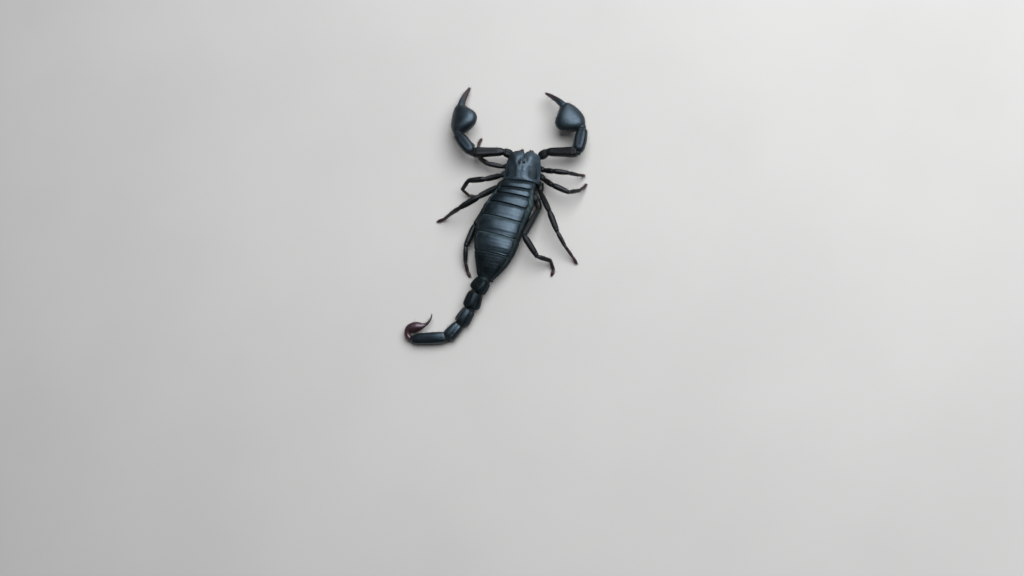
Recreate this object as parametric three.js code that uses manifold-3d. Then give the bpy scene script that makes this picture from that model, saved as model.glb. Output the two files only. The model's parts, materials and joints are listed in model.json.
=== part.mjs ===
// A black forest scorpion at life size, as a still display model that stands on a flat surface.
// Millimetres, +Z up, +Y towards the head and +X to the animal's right. Its feet stand at z = 0.
// The shell plates, limb segments and eyes are separate solids that meet at thin gaps.
import * as THREE from "three";
import { mergeVertices } from "three/addons/utils/BufferGeometryUtils.js";
import Module from "manifold-3d";

const wasm = await Module();
wasm.setup();

// ---- Driving dimensions ----

const GAP = 0.3; // clear space between two pieces that meet
const CARAPACE = { length: 15.5, yaw: 8, shift: 1 }; // the head shield is turned to the left by yaw degrees
const TERGITE_LENGTHS = [3.6, 3.6, 5.2, 7.3, 8.6, 8.9, 11.8]; // back plates, front to rear
const STERNITE_LENGTHS = [6.2, 7.6, 8.2, 8.2, 8.4]; // belly plates, front to rear
const PLATE = 1.0; // thickness of the back and belly plates
const PLATE_ANGLE = 60; // how far round the body a plate reaches from its middle, in degrees

// The trunk behind the head shield: [distance behind the shield, value].
const BODY = {
  swell: { back: 0.86, belly: 1.06 }, // its section: below 1 is squarer than an ellipse, above 1 narrower
  turn: 12, // the length at its front over which it turns to meet the shield
  middle: [
    [0, 0.4], [5, -0.3], [10, -0.7], [15, -1.7], [23, -2.5], [30, -2.5], [36, -2.1], [42, -2], [49, -2.4],
  ],
  halfWidth: [
    [0, 8.5], [6, 9.6], [11, 10.8], [16, 11.4], [24, 11.7], [31, 11.1], [38, 9.4], [44, 6.9], [49, 4.2],
  ],
  top: [[0, 12.2], [8, 13], [20, 13.6], [30, 13.3], [40, 11.8], [49, 9.8]],
  bottom: [[0, 6.3], [6, 6.1], [9.8, 3.3], [12, 2.1], [16, 1.4], [34, 1.4], [42, 2], [49, 3.4]],
  waist: [[0, 7.9], [20, 7.3], [40, 6.6], [49, 6.4]],
};

// Limb poses: each segment's length, then its heading in degrees anticlockwise from +X, its
// climb in degrees above level, and for tail and claws its roll about its own axis.
const LEG_BONES = [
  [3.0, 8.0, 7.6, 5.8, 3.8, 3.4],
  [3.0, 9.2, 8.8, 7.0, 4.6, 3.8],
  [3.8, 12.4, 11.0, 7.6, 6.3, 5.2],
  [4.0, 17.6, 11.8, 7.6, 4.8, 3.6],
];
const LEG_WIDTHS = [0.88, 0.94, 1.02, 1.08]; // thickness of each pair of legs against the pattern below
const FOOT_HEIGHT = 0.12; // height of the middle of every foot's tip; the last segment climbs down to it
const LEG_POSES = {
  right_1: { hip: [7.4, 9.4, 5.0], yaw: [-23, -11, 7, 25, 38, 48], pitch: [11, 46, -3, -54, -58] },
  right_2: { hip: [8.3, 5.6, 4.9], yaw: [-39, -30, -10, 44, 70, 82], pitch: [10, 41, -6, -45, -43] },
  right_3: { hip: [9.3, 1.0, 4.7], yaw: [-80, -50, -54, -47, -39, -41], pitch: [8, 17, -5, -20, -26] },
  right_4: { hip: [8.8, -7.0, 3.9], yaw: [-68, -96, -43, 6, -58, -98], pitch: [0, 23, -15, -40, -26] },
  left_1: { hip: [7.4, 9.4, 5.0], yaw: [211, 187, 152, 119, 97, 86], pitch: [5, 17, -30, -12, -12] },
  left_2: { hip: [8.3, 5.6, 4.9], yaw: [228, 223, 197, 229, 338, 379], pitch: [11, 36, -4, -48, -42] },
  left_3: { hip: [8.9, 1.0, 4.8], yaw: [241, 237, 223, 208, 208, 209], pitch: [11, 33, -6, -41, -48] },
  left_4: { hip: [9.1, -4.4, 4.0], yaw: [210, 253.5, 265, 282, 297, 312], pitch: [-16, 4, 5, -18, -24] },
};
const CLAW_BONES = [4.4, 15.2, 12.0, 16.0]; // trochanter, femur, patella, hand
const CLAW_BASE = { at: [4.9, 11.2, 4.9], length: 2.7, climb: 19 }; // the short base ahead of the leg bases
const CLAW_HIP = [6.9, 14.4, 6.0]; // beside the middle line, ahead of the shield's rear edge, above the floor
const CLAW_POSES = {
  right: { coxa: 66, yaw: [42, 11, 95, 141], pitch: [23, 4, -2, 3], lean: 16 },
  left: { coxa: 130, yaw: [178, 197, 143, 104], pitch: [23, 6, 1, -4], lean: 26 },
};
const FINGER = { length: 12.6, curl: 2.6, drop: 4.8 }; // the closed fingers bend inwards and down
const TAIL_ROOT = { x: -2.6, behind: 0.5, z: 6.3 }; // the first joint, behind the last back plate
const TAIL = [
  { length: 7.0, halfWidth: 4.1, halfHeight: 3.7, yaw: 249, pitch: -6, roll: 20 },
  { length: 8.6, halfWidth: 3.8, halfHeight: 3.7, yaw: 266, pitch: -8, roll: 40 },
  { length: 8.6, halfWidth: 3.5, halfHeight: 3.5, yaw: 250, pitch: -7, roll: 55 },
  { length: 8.8, halfWidth: 3.2, halfHeight: 3.3, yaw: 241, pitch: -4, roll: 70 },
  { length: 17.6, halfWidth: 2.7, halfHeight: 2.9, yaw: 197, pitch: -1.2, roll: 80 },
];
// The telson folds back over the last segment: [step, heading, half width, half height] from its joint,
// through the swollen bulb, to the tip of the sting.
const TELSON = [
  [0, 105, 1.2, 1.2],
  [1.2, 105, 1.5, 1.4],
  [1.5, 92, 2.0, 1.9],
  [1.6, 62, 2.35, 2.4],
  [1.8, 36, 2.45, 2.55],
  [1.8, 24, 2.3, 2.4],
  [1.7, 20, 1.8, 1.9],
  [1.2, 26, 1.2, 1.3],
  [1.0, 36, 0.85, 0.9],
  [1.7, 50, 0.68, 0.68],
  [1.7, 66, 0.52, 0.52],
  [1.6, 82, 0.38, 0.38],
  [1.5, 96, 0.26, 0.26],
];
const TELSON_CLIMB = 5; // degrees above level
const TELSON_HINGE = { ahead: 1.6, above: 1.4 }; // from the end of the last segment

// ---- Colours ----

const shell = new THREE.MeshStandardMaterial({ color: 0x1b2326, roughness: 0.38, metalness: 0 });
const limbShell = new THREE.MeshStandardMaterial({ color: 0x1d1d1c, roughness: 0.42, metalness: 0 });
const tipShell = new THREE.MeshStandardMaterial({ color: 0x3a1f1a, roughness: 0.4, metalness: 0 });
const membrane = new THREE.MeshStandardMaterial({ color: 0x3d3c36, roughness: 0.6, metalness: 0 });
const lens = new THREE.MeshStandardMaterial({ color: 0x050505, roughness: 0.1, metalness: 0 });

// ---- Helpers ----

const { degToRad, lerp, smoothstep, clamp } = THREE.MathUtils;
const UP = new THREE.Vector3(0, 0, 1);

// Reads a smooth curve through [position, value] stations at one position.
function along(stations, at) {
  const last = stations.length - 1;
  let i = 0;
  while (i < last - 1 && at > stations[i + 1][0]) i++;
  const [x1, y1] = stations[i];
  const [x2, y2] = stations[i + 1];
  const slope = (a, b) => (stations[b][1] - stations[a][1]) / (stations[b][0] - stations[a][0]);
  const m1 = slope(Math.max(i - 1, 0), i + 1) * (x2 - x1);
  const m2 = slope(i, Math.min(i + 2, last)) * (x2 - x1);
  const t = clamp((at - x1) / (x2 - x1), 0, 1);
  const [t2, t3] = [t * t, t * t * t];
  return y1 * (2 * t3 - 3 * t2 + 1) + m1 * (t3 - 2 * t2 + t) + y2 * (3 * t2 - 2 * t3) + m2 * (t3 - t2);
}

// Moves every vertex of a geometry with place(point), which changes the point it is given.
function warp(geometry, place) {
  const position = geometry.getAttribute("position");
  const point = new THREE.Vector3();
  for (let i = 0; i < position.count; i++) {
    place(point.fromBufferAttribute(position, i));
    position.setXYZ(i, point.x, point.y, point.z);
  }
  geometry.deleteAttribute("uv");
  geometry.computeVertexNormals();
  return geometry;
}

const FURROW_SHARE = 0.45; // how much of the half width a furrow takes

// A closed tube through rings of { centre, side, up, power, furrow }: side and up are half-axes, power 2 is
// an ellipse and more is squarer, and furrow sinks the middle of the up side.
function tube(rings, sides) {
  const steps = rings.length - 1;
  const cylinder = new THREE.CylinderGeometry(1, 1, 1, sides, steps, false, Math.PI / sides);
  return warp(cylinder, (point) => {
    const ring = rings[Math.round((point.y + 0.5) * steps)];
    const power = ring.power ?? 2;
    const size = Math.hypot(point.x, point.z);
    let [x, z] = [point.x, point.z];
    if (size > 0.5) {
      const grow = (Math.abs(x) ** power + Math.abs(z) ** power) ** (-1 / power);
      [x, z] = [x * grow, z * grow];
      if (z > 0) z -= (ring.furrow ?? 0) * Math.max(0, 1 - (x / FURROW_SHARE) ** 2);
    }
    point.copy(ring.centre).addScaledVector(ring.side, x).addScaledVector(ring.up, z);
  });
}

// The straight segments of one limb, root to tip, with their directions and the planes they meet in. From is
// the outward direction of the body where the limb starts, and to is the direction its tip turns to.
function layOut(start, lengths, yaws, pitches, { rolls = [], from, to } = {}) {
  const bones = lengths.map((length, i) => {
    const [yaw, pitch, roll] = [yaws[i], pitches[i], rolls[i] ?? 0].map(degToRad);
    const climb = Math.cos(pitch);
    const direction = new THREE.Vector3(climb * Math.cos(yaw), climb * Math.sin(yaw), Math.sin(pitch));
    const up = UP.clone().addScaledVector(direction, -direction.z).normalize();
    up.applyAxisAngle(direction, roll);
    return { length, direction, up, side: direction.clone().cross(up) };
  });
  let at = start.clone();
  bones.forEach((bone, i) => {
    bone.start = at.clone();
    at = at.clone().addScaledVector(bone.direction, bone.length);
    bone.end = at.clone();
    const before = i ? bones[i - 1].direction : from;
    bone.startPlane = meetingPlane(bone.direction, before);
    bone.endPlane = meetingPlane(bone.direction, bones[i + 1]?.direction ?? to);
  });
  return bones;
}

// The normal of the plane halfway between a segment and its neighbour.
function meetingPlane(own, other = own) {
  return own.clone().add(other).normalize();
}

// An axis of a bone's section, slid along the bone until it lies in the plane.
function leanInto(plane, axis, direction) {
  return axis.clone().addScaledVector(direction, -axis.dot(plane) / direction.dot(plane));
}

// Rings along one segment. profile holds [share of length, width, height] against the half sizes, and
// the rings lean into the planes where the segment meets its neighbours.
function segmentRings(bone, profile, halfWidth, halfHeight, options = {}) {
  const { startGap = GAP / 2, endGap = GAP / 2, ...more } = options;
  return profile.map(([share, width, height = width]) => {
    const distance = lerp(startGap, bone.length - endGap, share);
    const plane = bone.startPlane.clone().multiplyScalar((1 - share) ** 3);
    plane.addScaledVector(bone.endPlane, share ** 3);
    plane.addScaledVector(bone.direction, 1 - (1 - share) ** 3 - share ** 3).normalize();
    return {
      centre: bone.start.clone().addScaledVector(bone.direction, distance),
      side: leanInto(plane, bone.side, bone.direction).multiplyScalar(width * halfWidth),
      up: leanInto(plane, bone.up, bone.direction).multiplyScalar(height * halfHeight),
      ...more,
    };
  });
}

// Stands a geometry's lowest points on the floor as small flats.
function onFloor(geometry) {
  return warp(geometry, (point) => {
    point.z = Math.max(point.z, 0);
  });
}

const root = new THREE.Group();

// Adds a mesh whose geometry is given in the part's frame, hung from parent and turned with its segment.
function place(parent, name, geometry, material, bone) {
  const mesh = new THREE.Mesh(geometry, material);
  mesh.name = name;
  if (bone) {
    const frame = new THREE.Matrix4().makeBasis(bone.side, bone.direction, bone.up).setPosition(bone.start);
    geometry.applyMatrix4(frame.clone().invert());
    frame.decompose(mesh.position, mesh.quaternion, mesh.scale);
  }
  root.add(mesh);
  root.updateMatrixWorld(true);
  parent.attach(mesh);
  return mesh;
}

function solidFrom(geometry) {
  const bare = geometry.clone();
  bare.deleteAttribute("normal");
  const merged = mergeVertices(bare, 1e-4);
  return new wasm.Manifold(
    new wasm.Mesh({
      numProp: 3,
      vertProperties: merged.getAttribute("position").array,
      triVerts: new Uint32Array(merged.index.array),
    }),
  );
}

function geometryFrom(solid) {
  const { vertProperties, triVerts } = solid.getMesh();
  const geometry = new THREE.BufferGeometry();
  geometry.setAttribute("position", new THREE.BufferAttribute(vertProperties, 3));
  geometry.setIndex(new THREE.BufferAttribute(triVerts, 1));
  geometry.computeVertexNormals();
  return geometry;
}

// ---- Trunk: back plates, belly plates and the soft body between them ----

const headTurn = Math.tan(degToRad(CARAPACE.yaw));
const trunk = new THREE.Group();
root.add(trunk);

// Bends the trunk: its rear edges turn to meet the turned head shield, and its middle line curves.
function bend(point, behind) {
  point.y += headTurn * point.x * smoothstep(point.y, -BODY.turn, 0);
  point.x += along(BODY.middle, behind);
}

// A point of the trunk: angle in degrees from the middle of the back, distance behind the shield, and
// depth below the outer skin.
function trunkPoint(point, angle, behind, depth) {
  const turn = degToRad(angle);
  const [sin, cos] = [Math.sin(turn), Math.cos(turn)];
  const waist = along(BODY.waist, behind);
  const tall = cos > 0 ? along(BODY.top, behind) - waist : waist - along(BODY.bottom, behind);
  const wide = cos > 0 ? BODY.swell.back : BODY.swell.belly;
  point.x = Math.sign(sin) * Math.abs(sin) ** wide * (along(BODY.halfWidth, behind) - depth);
  point.z = waist + Math.sign(cos) * Math.abs(cos) ** BODY.swell.back * (tall - depth);
  point.y = -behind;
  bend(point, behind);
}

// A plate wrapped over the trunk about the given middle angle, from one distance to the next.
function trunkPlate(middle, from, to, across, lengthwise) {
  const box = new THREE.BoxGeometry(1, 1, 1, across, lengthwise, 1);
  return warp(box, (point) => {
    const angle = middle + 2 * PLATE_ANGLE * point.x;
    const behind = lerp(to - GAP / 2, from + GAP / 2, point.y + 0.5);
    trunkPoint(point, angle, behind, (0.5 - point.z) * PLATE);
  });
}

const total = (lengths) => lengths.reduce((sum, length) => sum + length, 0);

// A row of plates about one middle angle, each behind the one before it, numbered from first.
function plateRow(name, first, lengths, start, middle, across, material) {
  let behind = start;
  lengths.forEach((length, i) => {
    const lengthwise = length > LONG_PLATE ? 2 : 1;
    const plate = trunkPlate(middle, behind, behind + length, across, lengthwise);
    place(trunk, `${name}_${i + first}`, plate, material);
    behind += length;
  });
}

const TRUNK_START = 0.2; // the first back plate begins this far behind the head shield
const LONG_PLATE = 7; // back plates longer than this are modelled in two steps, for their curve
const tailRoot = TRUNK_START + total(TERGITE_LENGTHS);
plateRow("tergite", 1, TERGITE_LENGTHS, TRUNK_START, 0, 10, shell);
plateRow("sternite", 3, STERNITE_LENGTHS, tailRoot - total(STERNITE_LENGTHS), 180, 8, limbShell);

// The soft body: it swells out between the plates and lies just under them elsewhere.
const CORE = {
  rings: [0.4, 3, 6, 8, 10, 12, 16, 22, 28, 34, 40, 45, tailRoot - 0.1],
  sides: 24,
  swollen: 20, // degrees either side of the waist where it shows between the plates
  depthThere: 0.2,
  depthUnderPlates: PLATE + 1.5 * GAP,
};
const coreSteps = CORE.rings.length - 1;
const core = warp(new THREE.CylinderGeometry(1, 1, 1, CORE.sides, coreSteps), (point) => {
  const ring = CORE.rings[Math.round((0.5 - point.y) * coreSteps)];
  const middle = Math.hypot(point.x, point.z) < 0.5;
  const angle = THREE.MathUtils.radToDeg(Math.atan2(point.x, point.z));
  const fromWaist = Math.abs(Math.abs(angle) - 90);
  trunkPoint(point, angle, ring, fromWaist < CORE.swollen ? CORE.depthThere : CORE.depthUnderPlates);
  if (middle) {
    point.set(0, -ring, along(BODY.waist, ring));
    bend(point, ring);
  }
});
place(trunk, "pleura", core, membrane);

// ---- Head shield, eyes and mouthparts, in a group turned to the left ----

const head = new THREE.Group();
head.position.x = CARAPACE.shift;
head.rotation.z = degToRad(CARAPACE.yaw);
root.add(head);

const SHIELD = {
  halfWidth: [[0, 8.8], [4, 8.9], [8, 8.6], [12, 7.9], [15.5, 6.6]],
  crest: [[0, 12.1], [5, 12.6], [9, 12.5], [12, 11.6], [15.5, 10.2]],
  rim: [[0, 8.1], [8, 8], [15.5, 8.9]],
  under: [[0, 7], [9.5, 7], [11.5, 8], [15.5, 8.3]],
  archPower: 2.6, // how square the arch from rim to rim is
  notch: { depth: 1.5, share: 0.16 }, // in the middle of the front margin
  corner: 1.6, // how far the front corners are rounded back
  furrow: { depth: 0.5, halfWidth: 0.9, from: 9, to: 13 }, // in the middle, from the eyes to the notch
};
const EYES = { spread: 1.05, ahead: 8.8, height: 12.75, radius: 0.8, socket: 0.15 };
const TUBERCLE = { height: 0.55, spread: 1.2 }; // the mound that the middle eyes stand on

const hump = (distance, width) => Math.exp(-((distance / width) ** 2));

// The front margin has two rounded lobes with a notch between them.
function shieldFront(across) {
  const notch = SHIELD.notch.depth * hump(across, SHIELD.notch.share);
  return CARAPACE.length - notch - SHIELD.corner * Math.abs(across) ** 4;
}

function shieldTop(x, y) {
  const across = x / along(SHIELD.halfWidth, y);
  const rim = along(SHIELD.rim, y);
  const arch = rim + (along(SHIELD.crest, y) - rim) * (1 - Math.abs(across) ** SHIELD.archPower);
  const mound = TUBERCLE.height * hump(Math.hypot(x, y - EYES.ahead), Math.SQRT2 * TUBERCLE.spread);
  const { depth, halfWidth, from, to } = SHIELD.furrow;
  return arch + mound - depth * hump(x, halfWidth) * smoothstep(y, from, to);
}

const shieldBlock = warp(new THREE.BoxGeometry(2, 1, 1, 14, 8, 1), (point) => {
  const across = point.x;
  const y = (point.y + 0.5) * shieldFront(across);
  point.x = across * along(SHIELD.halfWidth, y);
  point.y = y;
  point.z = point.z > 0 ? shieldTop(point.x, y) : along(SHIELD.under, y);
});

let carapace = solidFrom(shieldBlock);
for (const side of [-1, 1]) {
  const eye = new THREE.SphereGeometry(1, 10, 7);
  const at = [side * EYES.spread, EYES.ahead, EYES.height];
  const socketSize = EYES.radius + EYES.socket;
  const socket = eye.clone().scale(socketSize, socketSize, socketSize).translate(...at);
  socket.deleteAttribute("uv");
  carapace = carapace.subtract(solidFrom(socket));
  const ball = new THREE.Mesh(eye.scale(EYES.radius, EYES.radius, EYES.radius), lens);
  ball.name = side > 0 ? "median_eye_right" : "median_eye_left";
  ball.position.set(...at);
  head.add(ball);
}
const carapaceMesh = new THREE.Mesh(geometryFrom(carapace), shell);
carapaceMesh.name = "carapace";
head.add(carapaceMesh);

// Pincer-like mouthparts under the front margin: [distance ahead, half width, half height, height].
const CHELICERA = [
  [12.0, 1.2, 1.1, 6.2],
  [13.6, 1.6, 1.4, 6.3],
  [15.4, 1.85, 1.6, 6.5],
  [16.6, 1.75, 1.6, 6.4],
  [17.4, 1.2, 1.2, 6.1],
  [17.8, 0.5, 0.6, 5.8],
];
const CHELICERA_SPREAD = 2.5; // from the middle to each one's own middle line
for (const side of [-1, 1]) {
  const rings = CHELICERA.map(([y, halfWidth, halfHeight, z]) => ({
    centre: new THREE.Vector3(side * CHELICERA_SPREAD, y, z),
    side: new THREE.Vector3(halfWidth, 0, 0),
    up: new THREE.Vector3(0, 0, halfHeight),
    power: 2.4,
  }));
  const mesh = new THREE.Mesh(tube(rings, 10), tipShell);
  mesh.name = side > 0 ? "chelicera_right" : "chelicera_left";
  head.add(mesh);
}

// The leg bases under the head shield, one block a side with a ridge for each leg.
const BASES = {
  outer: [[-5.6, 6.2], [-3.8, 7.5], [1, 8.1], [5.6, 7.6], [9.4, 6.7], [10.3, 6]],
  inner: 0.4,
  front: 10.3,
  rear: -5.6,
  floor: 2.3,
  keel: 0.9, // how much the underside rises outwards
  groove: 0.6, // depth of the grooves between the bases below
  waist: 0.5, // depth of the same grooves at the outer side
  roof: { rear: 5.7, front: 6.65 }, // the rear is lower, to pass under the first back plates
  sternumRoom: { width: 1.5, behind: 4.5 }, // set back from the middle to hold the breastbone
  legs: 4,
};
for (const side of [-1, 1]) {
  const block = new THREE.BoxGeometry(1, 1, 1, 3, 12, 1);
  const geometry = warp(block, (point) => {
    const share = point.x + 0.5;
    const y = lerp(BASES.rear, BASES.front, point.y + 0.5);
    const ridge = 0.5 + 0.5 * Math.cos(2 * Math.PI * (BASES.legs * (point.y + 0.5) - 0.5));
    const sternumRoom = BASES.sternumRoom.width * smoothstep(BASES.sternumRoom.behind - y, 0, 2);
    const outer = along(BASES.outer, y) - BASES.waist * (1 - ridge);
    const roof = lerp(BASES.roof.rear, BASES.roof.front, smoothstep(y, -0.8, 0.8));
    const floor = BASES.floor + BASES.groove * (1 - ridge) + BASES.keel * share ** 2;
    point.x = lerp(BASES.inner + sternumRoom, outer, share) * side;
    point.y = y;
    point.z = point.z > 0 ? roof : floor;
  });
  if (side < 0) geometry.setIndex(Array.from(geometry.index.array).reverse());
  const mesh = new THREE.Mesh(geometry, limbShell);
  mesh.name = side > 0 ? "leg_bases_right" : "leg_bases_left";
  head.add(mesh);
}

// Breastbone plate between the rear leg bases, and the plate that covers the genital opening behind it.
const BELLY_PLATES = { halfWidth: 1.5, low: 2.1, high: 3.4 };
function bellyPlate(name, rear, front, taper) {
  const geometry = warp(new THREE.BoxGeometry(2, 1, 1, 2, 2, 1), (point) => {
    const share = point.y + 0.5;
    point.x *= BELLY_PLATES.halfWidth * (1 - taper * share ** 2);
    point.y = lerp(rear, front, share);
    point.z = lerp(BELLY_PLATES.low, BELLY_PLATES.high, point.z + 0.5);
  });
  const mesh = new THREE.Mesh(geometry, limbShell);
  mesh.name = name;
  head.add(mesh);
}
bellyPlate("sternum", -1.4, 2.4, 0.45);
bellyPlate("genital_operculum", -4.8, -1.8, -0.1);

// Comb-like sense organs behind the legs: a bar with teeth on its rear edge.
const COMB = {
  inner: 1.0,
  outer: 7.2,
  front: -6,
  sweep: 1.9, // how far the tip lies behind the root
  bar: { root: 1.3, tip: 0.7 }, // its depth from front to rear without the teeth
  teeth: 8,
  tooth: 0.9,
  low: 2.0,
  high: 2.7,
};
for (const side of [-1, 1]) {
  const geometry = warp(new THREE.BoxGeometry(1, 1, 1, 2 * COMB.teeth, 1, 1), (point) => {
    const share = point.x + 0.5;
    const tooth = Math.round(share * 2 * COMB.teeth) % 2;
    const frontEdge = COMB.front - COMB.sweep * share ** 1.5;
    const depth = lerp(COMB.bar.root, COMB.bar.tip, share) + COMB.tooth * tooth;
    point.x = lerp(COMB.inner, COMB.outer, share) * side;
    point.y = point.y > 0 ? frontEdge : frontEdge - depth;
    point.z = lerp(COMB.low, COMB.high, point.z + 0.5);
  });
  if (side < 0) geometry.setIndex(Array.from(geometry.index.array).reverse());
  const mesh = new THREE.Mesh(geometry, limbShell);
  mesh.name = side > 0 ? "pectine_right" : "pectine_left";
  head.add(mesh);
}

root.updateMatrixWorld(true);
const fromHead = (side, [x, y, z]) => head.localToWorld(new THREE.Vector3(side * x, y, z));
const outward = (side) => new THREE.Vector3(side, 0, 0).transformDirection(head.matrixWorld);

// ---- Legs: an upper solid of trochanter, femur and patella, and a lower one of tibia and foot ----

const LIMB_POWER = 2.3; // sections a little squarer than an ellipse
const LEG_SEGMENTS = [
  { half: [1.5, 1.5], profile: [[0, 0.8], [0.5, 1], [1, 0.8]] },
  { half: [1.35, 1.75], profile: [[0, 0.68], [0.3, 0.95], [0.75, 1], [1, 0.72]] },
  { half: [1.4, 1.8], profile: [[0, 0.68], [0.25, 1], [0.7, 0.95], [1, 0.62]] },
  { half: [1.1, 1.3], profile: [[0, 0.7], [0.35, 0.95], [1, 0.68]] },
  { half: [0.85, 0.9], profile: [[0, 0.85], [0.5, 0.9], [1, 0.8]] },
  { half: [0.75, 0.75], profile: [[0, 0.85], [0.55, 1], [0.85, 0.8], [1, 0.56]] },
];

function legGeometry(bones, first, last, scale) {
  const rings = [];
  for (let i = first; i <= last; i++) {
    const { half, profile } = LEG_SEGMENTS[i];
    const [startGap, endGap] = [i === first ? GAP / 2 : 0, i === last ? GAP / 2 : 0];
    const options = { startGap, endGap, power: LIMB_POWER };
    const own = segmentRings(bones[i], profile, half[0] * scale, half[1] * scale, options);
    if (i > first) own.shift();
    rings.push(...own);
  }
  return tube(rings, 8);
}

for (const [name, pose] of Object.entries(LEG_POSES)) {
  const pair = Number(name.slice(-1)) - 1;
  const side = name.startsWith("right") ? 1 : -1;
  const hip = fromHead(side, pose.hip);
  const lengths = LEG_BONES[pair];
  const ankle = layOut(hip, lengths.slice(0, 5), pose.yaw, pose.pitch).at(-1).end;
  const lastPitch = THREE.MathUtils.radToDeg(Math.asin((FOOT_HEIGHT - ankle.z) / lengths[5]));
  const toe = degToRad(pose.yaw.at(-1));
  const bones = layOut(hip, lengths, pose.yaw, [...pose.pitch, lastPitch], {
    from: outward(side),
    to: new THREE.Vector3(Math.cos(toe), Math.sin(toe), 0),
  });
  const leg = new THREE.Group();
  leg.position.copy(hip);
  root.add(leg);
  const upper = legGeometry(bones, 0, 2, LEG_WIDTHS[pair]);
  const lower = onFloor(legGeometry(bones, 3, 5, LEG_WIDTHS[pair]));
  place(leg, `leg_${name}_upper`, upper, limbShell, bones[0]);
  place(leg, `leg_${name}_lower`, lower, tipShell, bones[3]);
}

// ---- Claw arms: base, trochanter, femur, patella, hand with its fixed finger, and the moving finger ----

const ARM_POWER = 2.5;
const ARM_SEGMENTS = [
  {
    name: "trochanter",
    half: [2.1, 2.1],
    profile: [[0, 0.7], [0.35, 1], [0.75, 0.96], [1, 0.72]],
  },
  {
    name: "femur",
    half: [2.3, 2.4],
    profile: [[0, 0.66], [0.15, 0.85], [0.5, 0.95], [0.82, 1.08], [0.95, 0.9], [1, 0.62]],
  },
  {
    name: "patella",
    half: [2.9, 2.8],
    profile: [[0, 0.6], [0.2, 0.96], [0.5, 1.06], [0.8, 0.92], [1, 0.5]],
  },
];
const CLAW_BASE_PROFILE = [[0, 0.7], [0.3, 0.9], [0.7, 1], [1, 0.8]];
const CLAW_BASE_HALF = [1.7, 1.5];
// The hand: [distance from the wrist, inward shift of its middle, half width, half thickness].
const HAND = [
  [0.6, -0.1, 1.6, 1.5],
  [1.4, 0.5, 2.9, 2.5],
  [2.8, 1.7, 5.0, 3.8],
  [5.2, 2.6, 6.7, 4.6],
  [8.2, 2.65, 7.0, 4.7],
  [11, 2.0, 5.9, 4.3],
  [13.4, 1.1, 4.1, 3.4],
  [15.4, 0.5, 2.3, 2.1],
];
// The fingers: [share of the finger's length, half width, half thickness]; lift is where each one's own
// line starts, above or below the line that they share.
const FIXED_FINGER = {
  lift: 1.1,
  profile: [[0.15, 1.5, 1.3], [0.4, 1.15, 1.05], [0.7, 0.85, 0.8], [0.9, 0.6, 0.55], [1, 0.3, 0.3]],
};
const MOVING_FINGER = {
  lift: -1.3,
  profile: [
    [0, 0.9, 0.9],
    [0.12, 1.35, 1.1],
    [0.4, 1.15, 0.95],
    [0.7, 0.85, 0.75],
    [0.9, 0.6, 0.55],
    [1, 0.3, 0.3],
  ],
};

// The line that both fingers follow from the end of the hand, curving inwards and down. The two close up
// towards their tips.
function fingerPoint(wrist, side, share, lift) {
  const [handEnd, inward] = HAND.at(-1);
  const point = wrist.start.clone().addScaledVector(wrist.direction, handEnd + share * FINGER.length);
  const bent = Math.max(share, 0);
  point.addScaledVector(wrist.side, -side * (inward + FINGER.curl * bent ** 1.6));
  return point.addScaledVector(wrist.up, lift * lerp(1, 0.4, bent) - FINGER.drop * bent ** 1.4);
}

for (const [name, pose] of Object.entries(CLAW_POSES)) {
  const side = name === "right" ? 1 : -1;
  const hip = fromHead(side, CLAW_HIP);
  const [base] = layOut(fromHead(side, CLAW_BASE.at), [CLAW_BASE.length], [pose.coxa], [CLAW_BASE.climb]);
  const bones = layOut(hip, CLAW_BONES, pose.yaw, pose.pitch, { from: outward(side) });
  const arm = new THREE.Group();
  arm.position.copy(hip);
  root.add(arm);
  const baseRings = segmentRings(base, CLAW_BASE_PROFILE, ...CLAW_BASE_HALF, { power: LIMB_POWER });
  place(arm, `pedipalp_coxa_${name}`, tube(baseRings, 8), limbShell, base);
  ARM_SEGMENTS.forEach(({ name: part, half, profile }, i) => {
    const rings = segmentRings(bones[i], profile, half[0], half[1], { power: ARM_POWER });
    place(arm, `pedipalp_${part}_${name}`, tube(rings, 12), limbShell, bones[i]);
  });
  const wrist = bones[3];
  const handRings = HAND.map(([distance, inward, halfWidth, halfThick]) => {
    const centre = wrist.start.clone().addScaledVector(wrist.direction, distance);
    const leaning = smoothstep(distance, -0.5, 3.5) * smoothstep(distance, 17.5, 12);
    const lean = side * degToRad(pose.lean) * leaning;
    return {
      centre: centre.addScaledVector(wrist.side, -side * inward),
      side: wrist.side.clone().applyAxisAngle(wrist.direction, lean).multiplyScalar(halfWidth),
      up: wrist.up.clone().applyAxisAngle(wrist.direction, lean).multiplyScalar(halfThick),
      power: 2.1,
    };
  });
  const fingerRings = ({ lift, profile }) =>
    profile.map(([share, halfWidth, halfThick]) => ({
      centre: fingerPoint(wrist, side, share, lift),
      side: wrist.side.clone().multiplyScalar(halfWidth),
      up: wrist.up.clone().multiplyScalar(halfThick),
    }));
  const { lift, profile } = MOVING_FINGER;
  const grown = profile.map(([share, ...half]) => [share, ...half.map((size) => size + GAP)]);
  const room = { lift, profile: [[-0.03, ...grown[0].slice(1)], ...grown] };
  const hand = solidFrom(tube([...handRings, ...fingerRings(FIXED_FINGER)], 14));
  const socketed = hand.subtract(solidFrom(tube(fingerRings(room), 10)));
  place(arm, `chela_hand_${name}`, geometryFrom(socketed), limbShell, wrist);
  place(arm, `chela_finger_${name}`, tube(fingerRings(MOVING_FINGER), 10), tipShell, wrist);
}

// ---- Tail: five segments and the sting, rolled over onto its side ----

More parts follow.
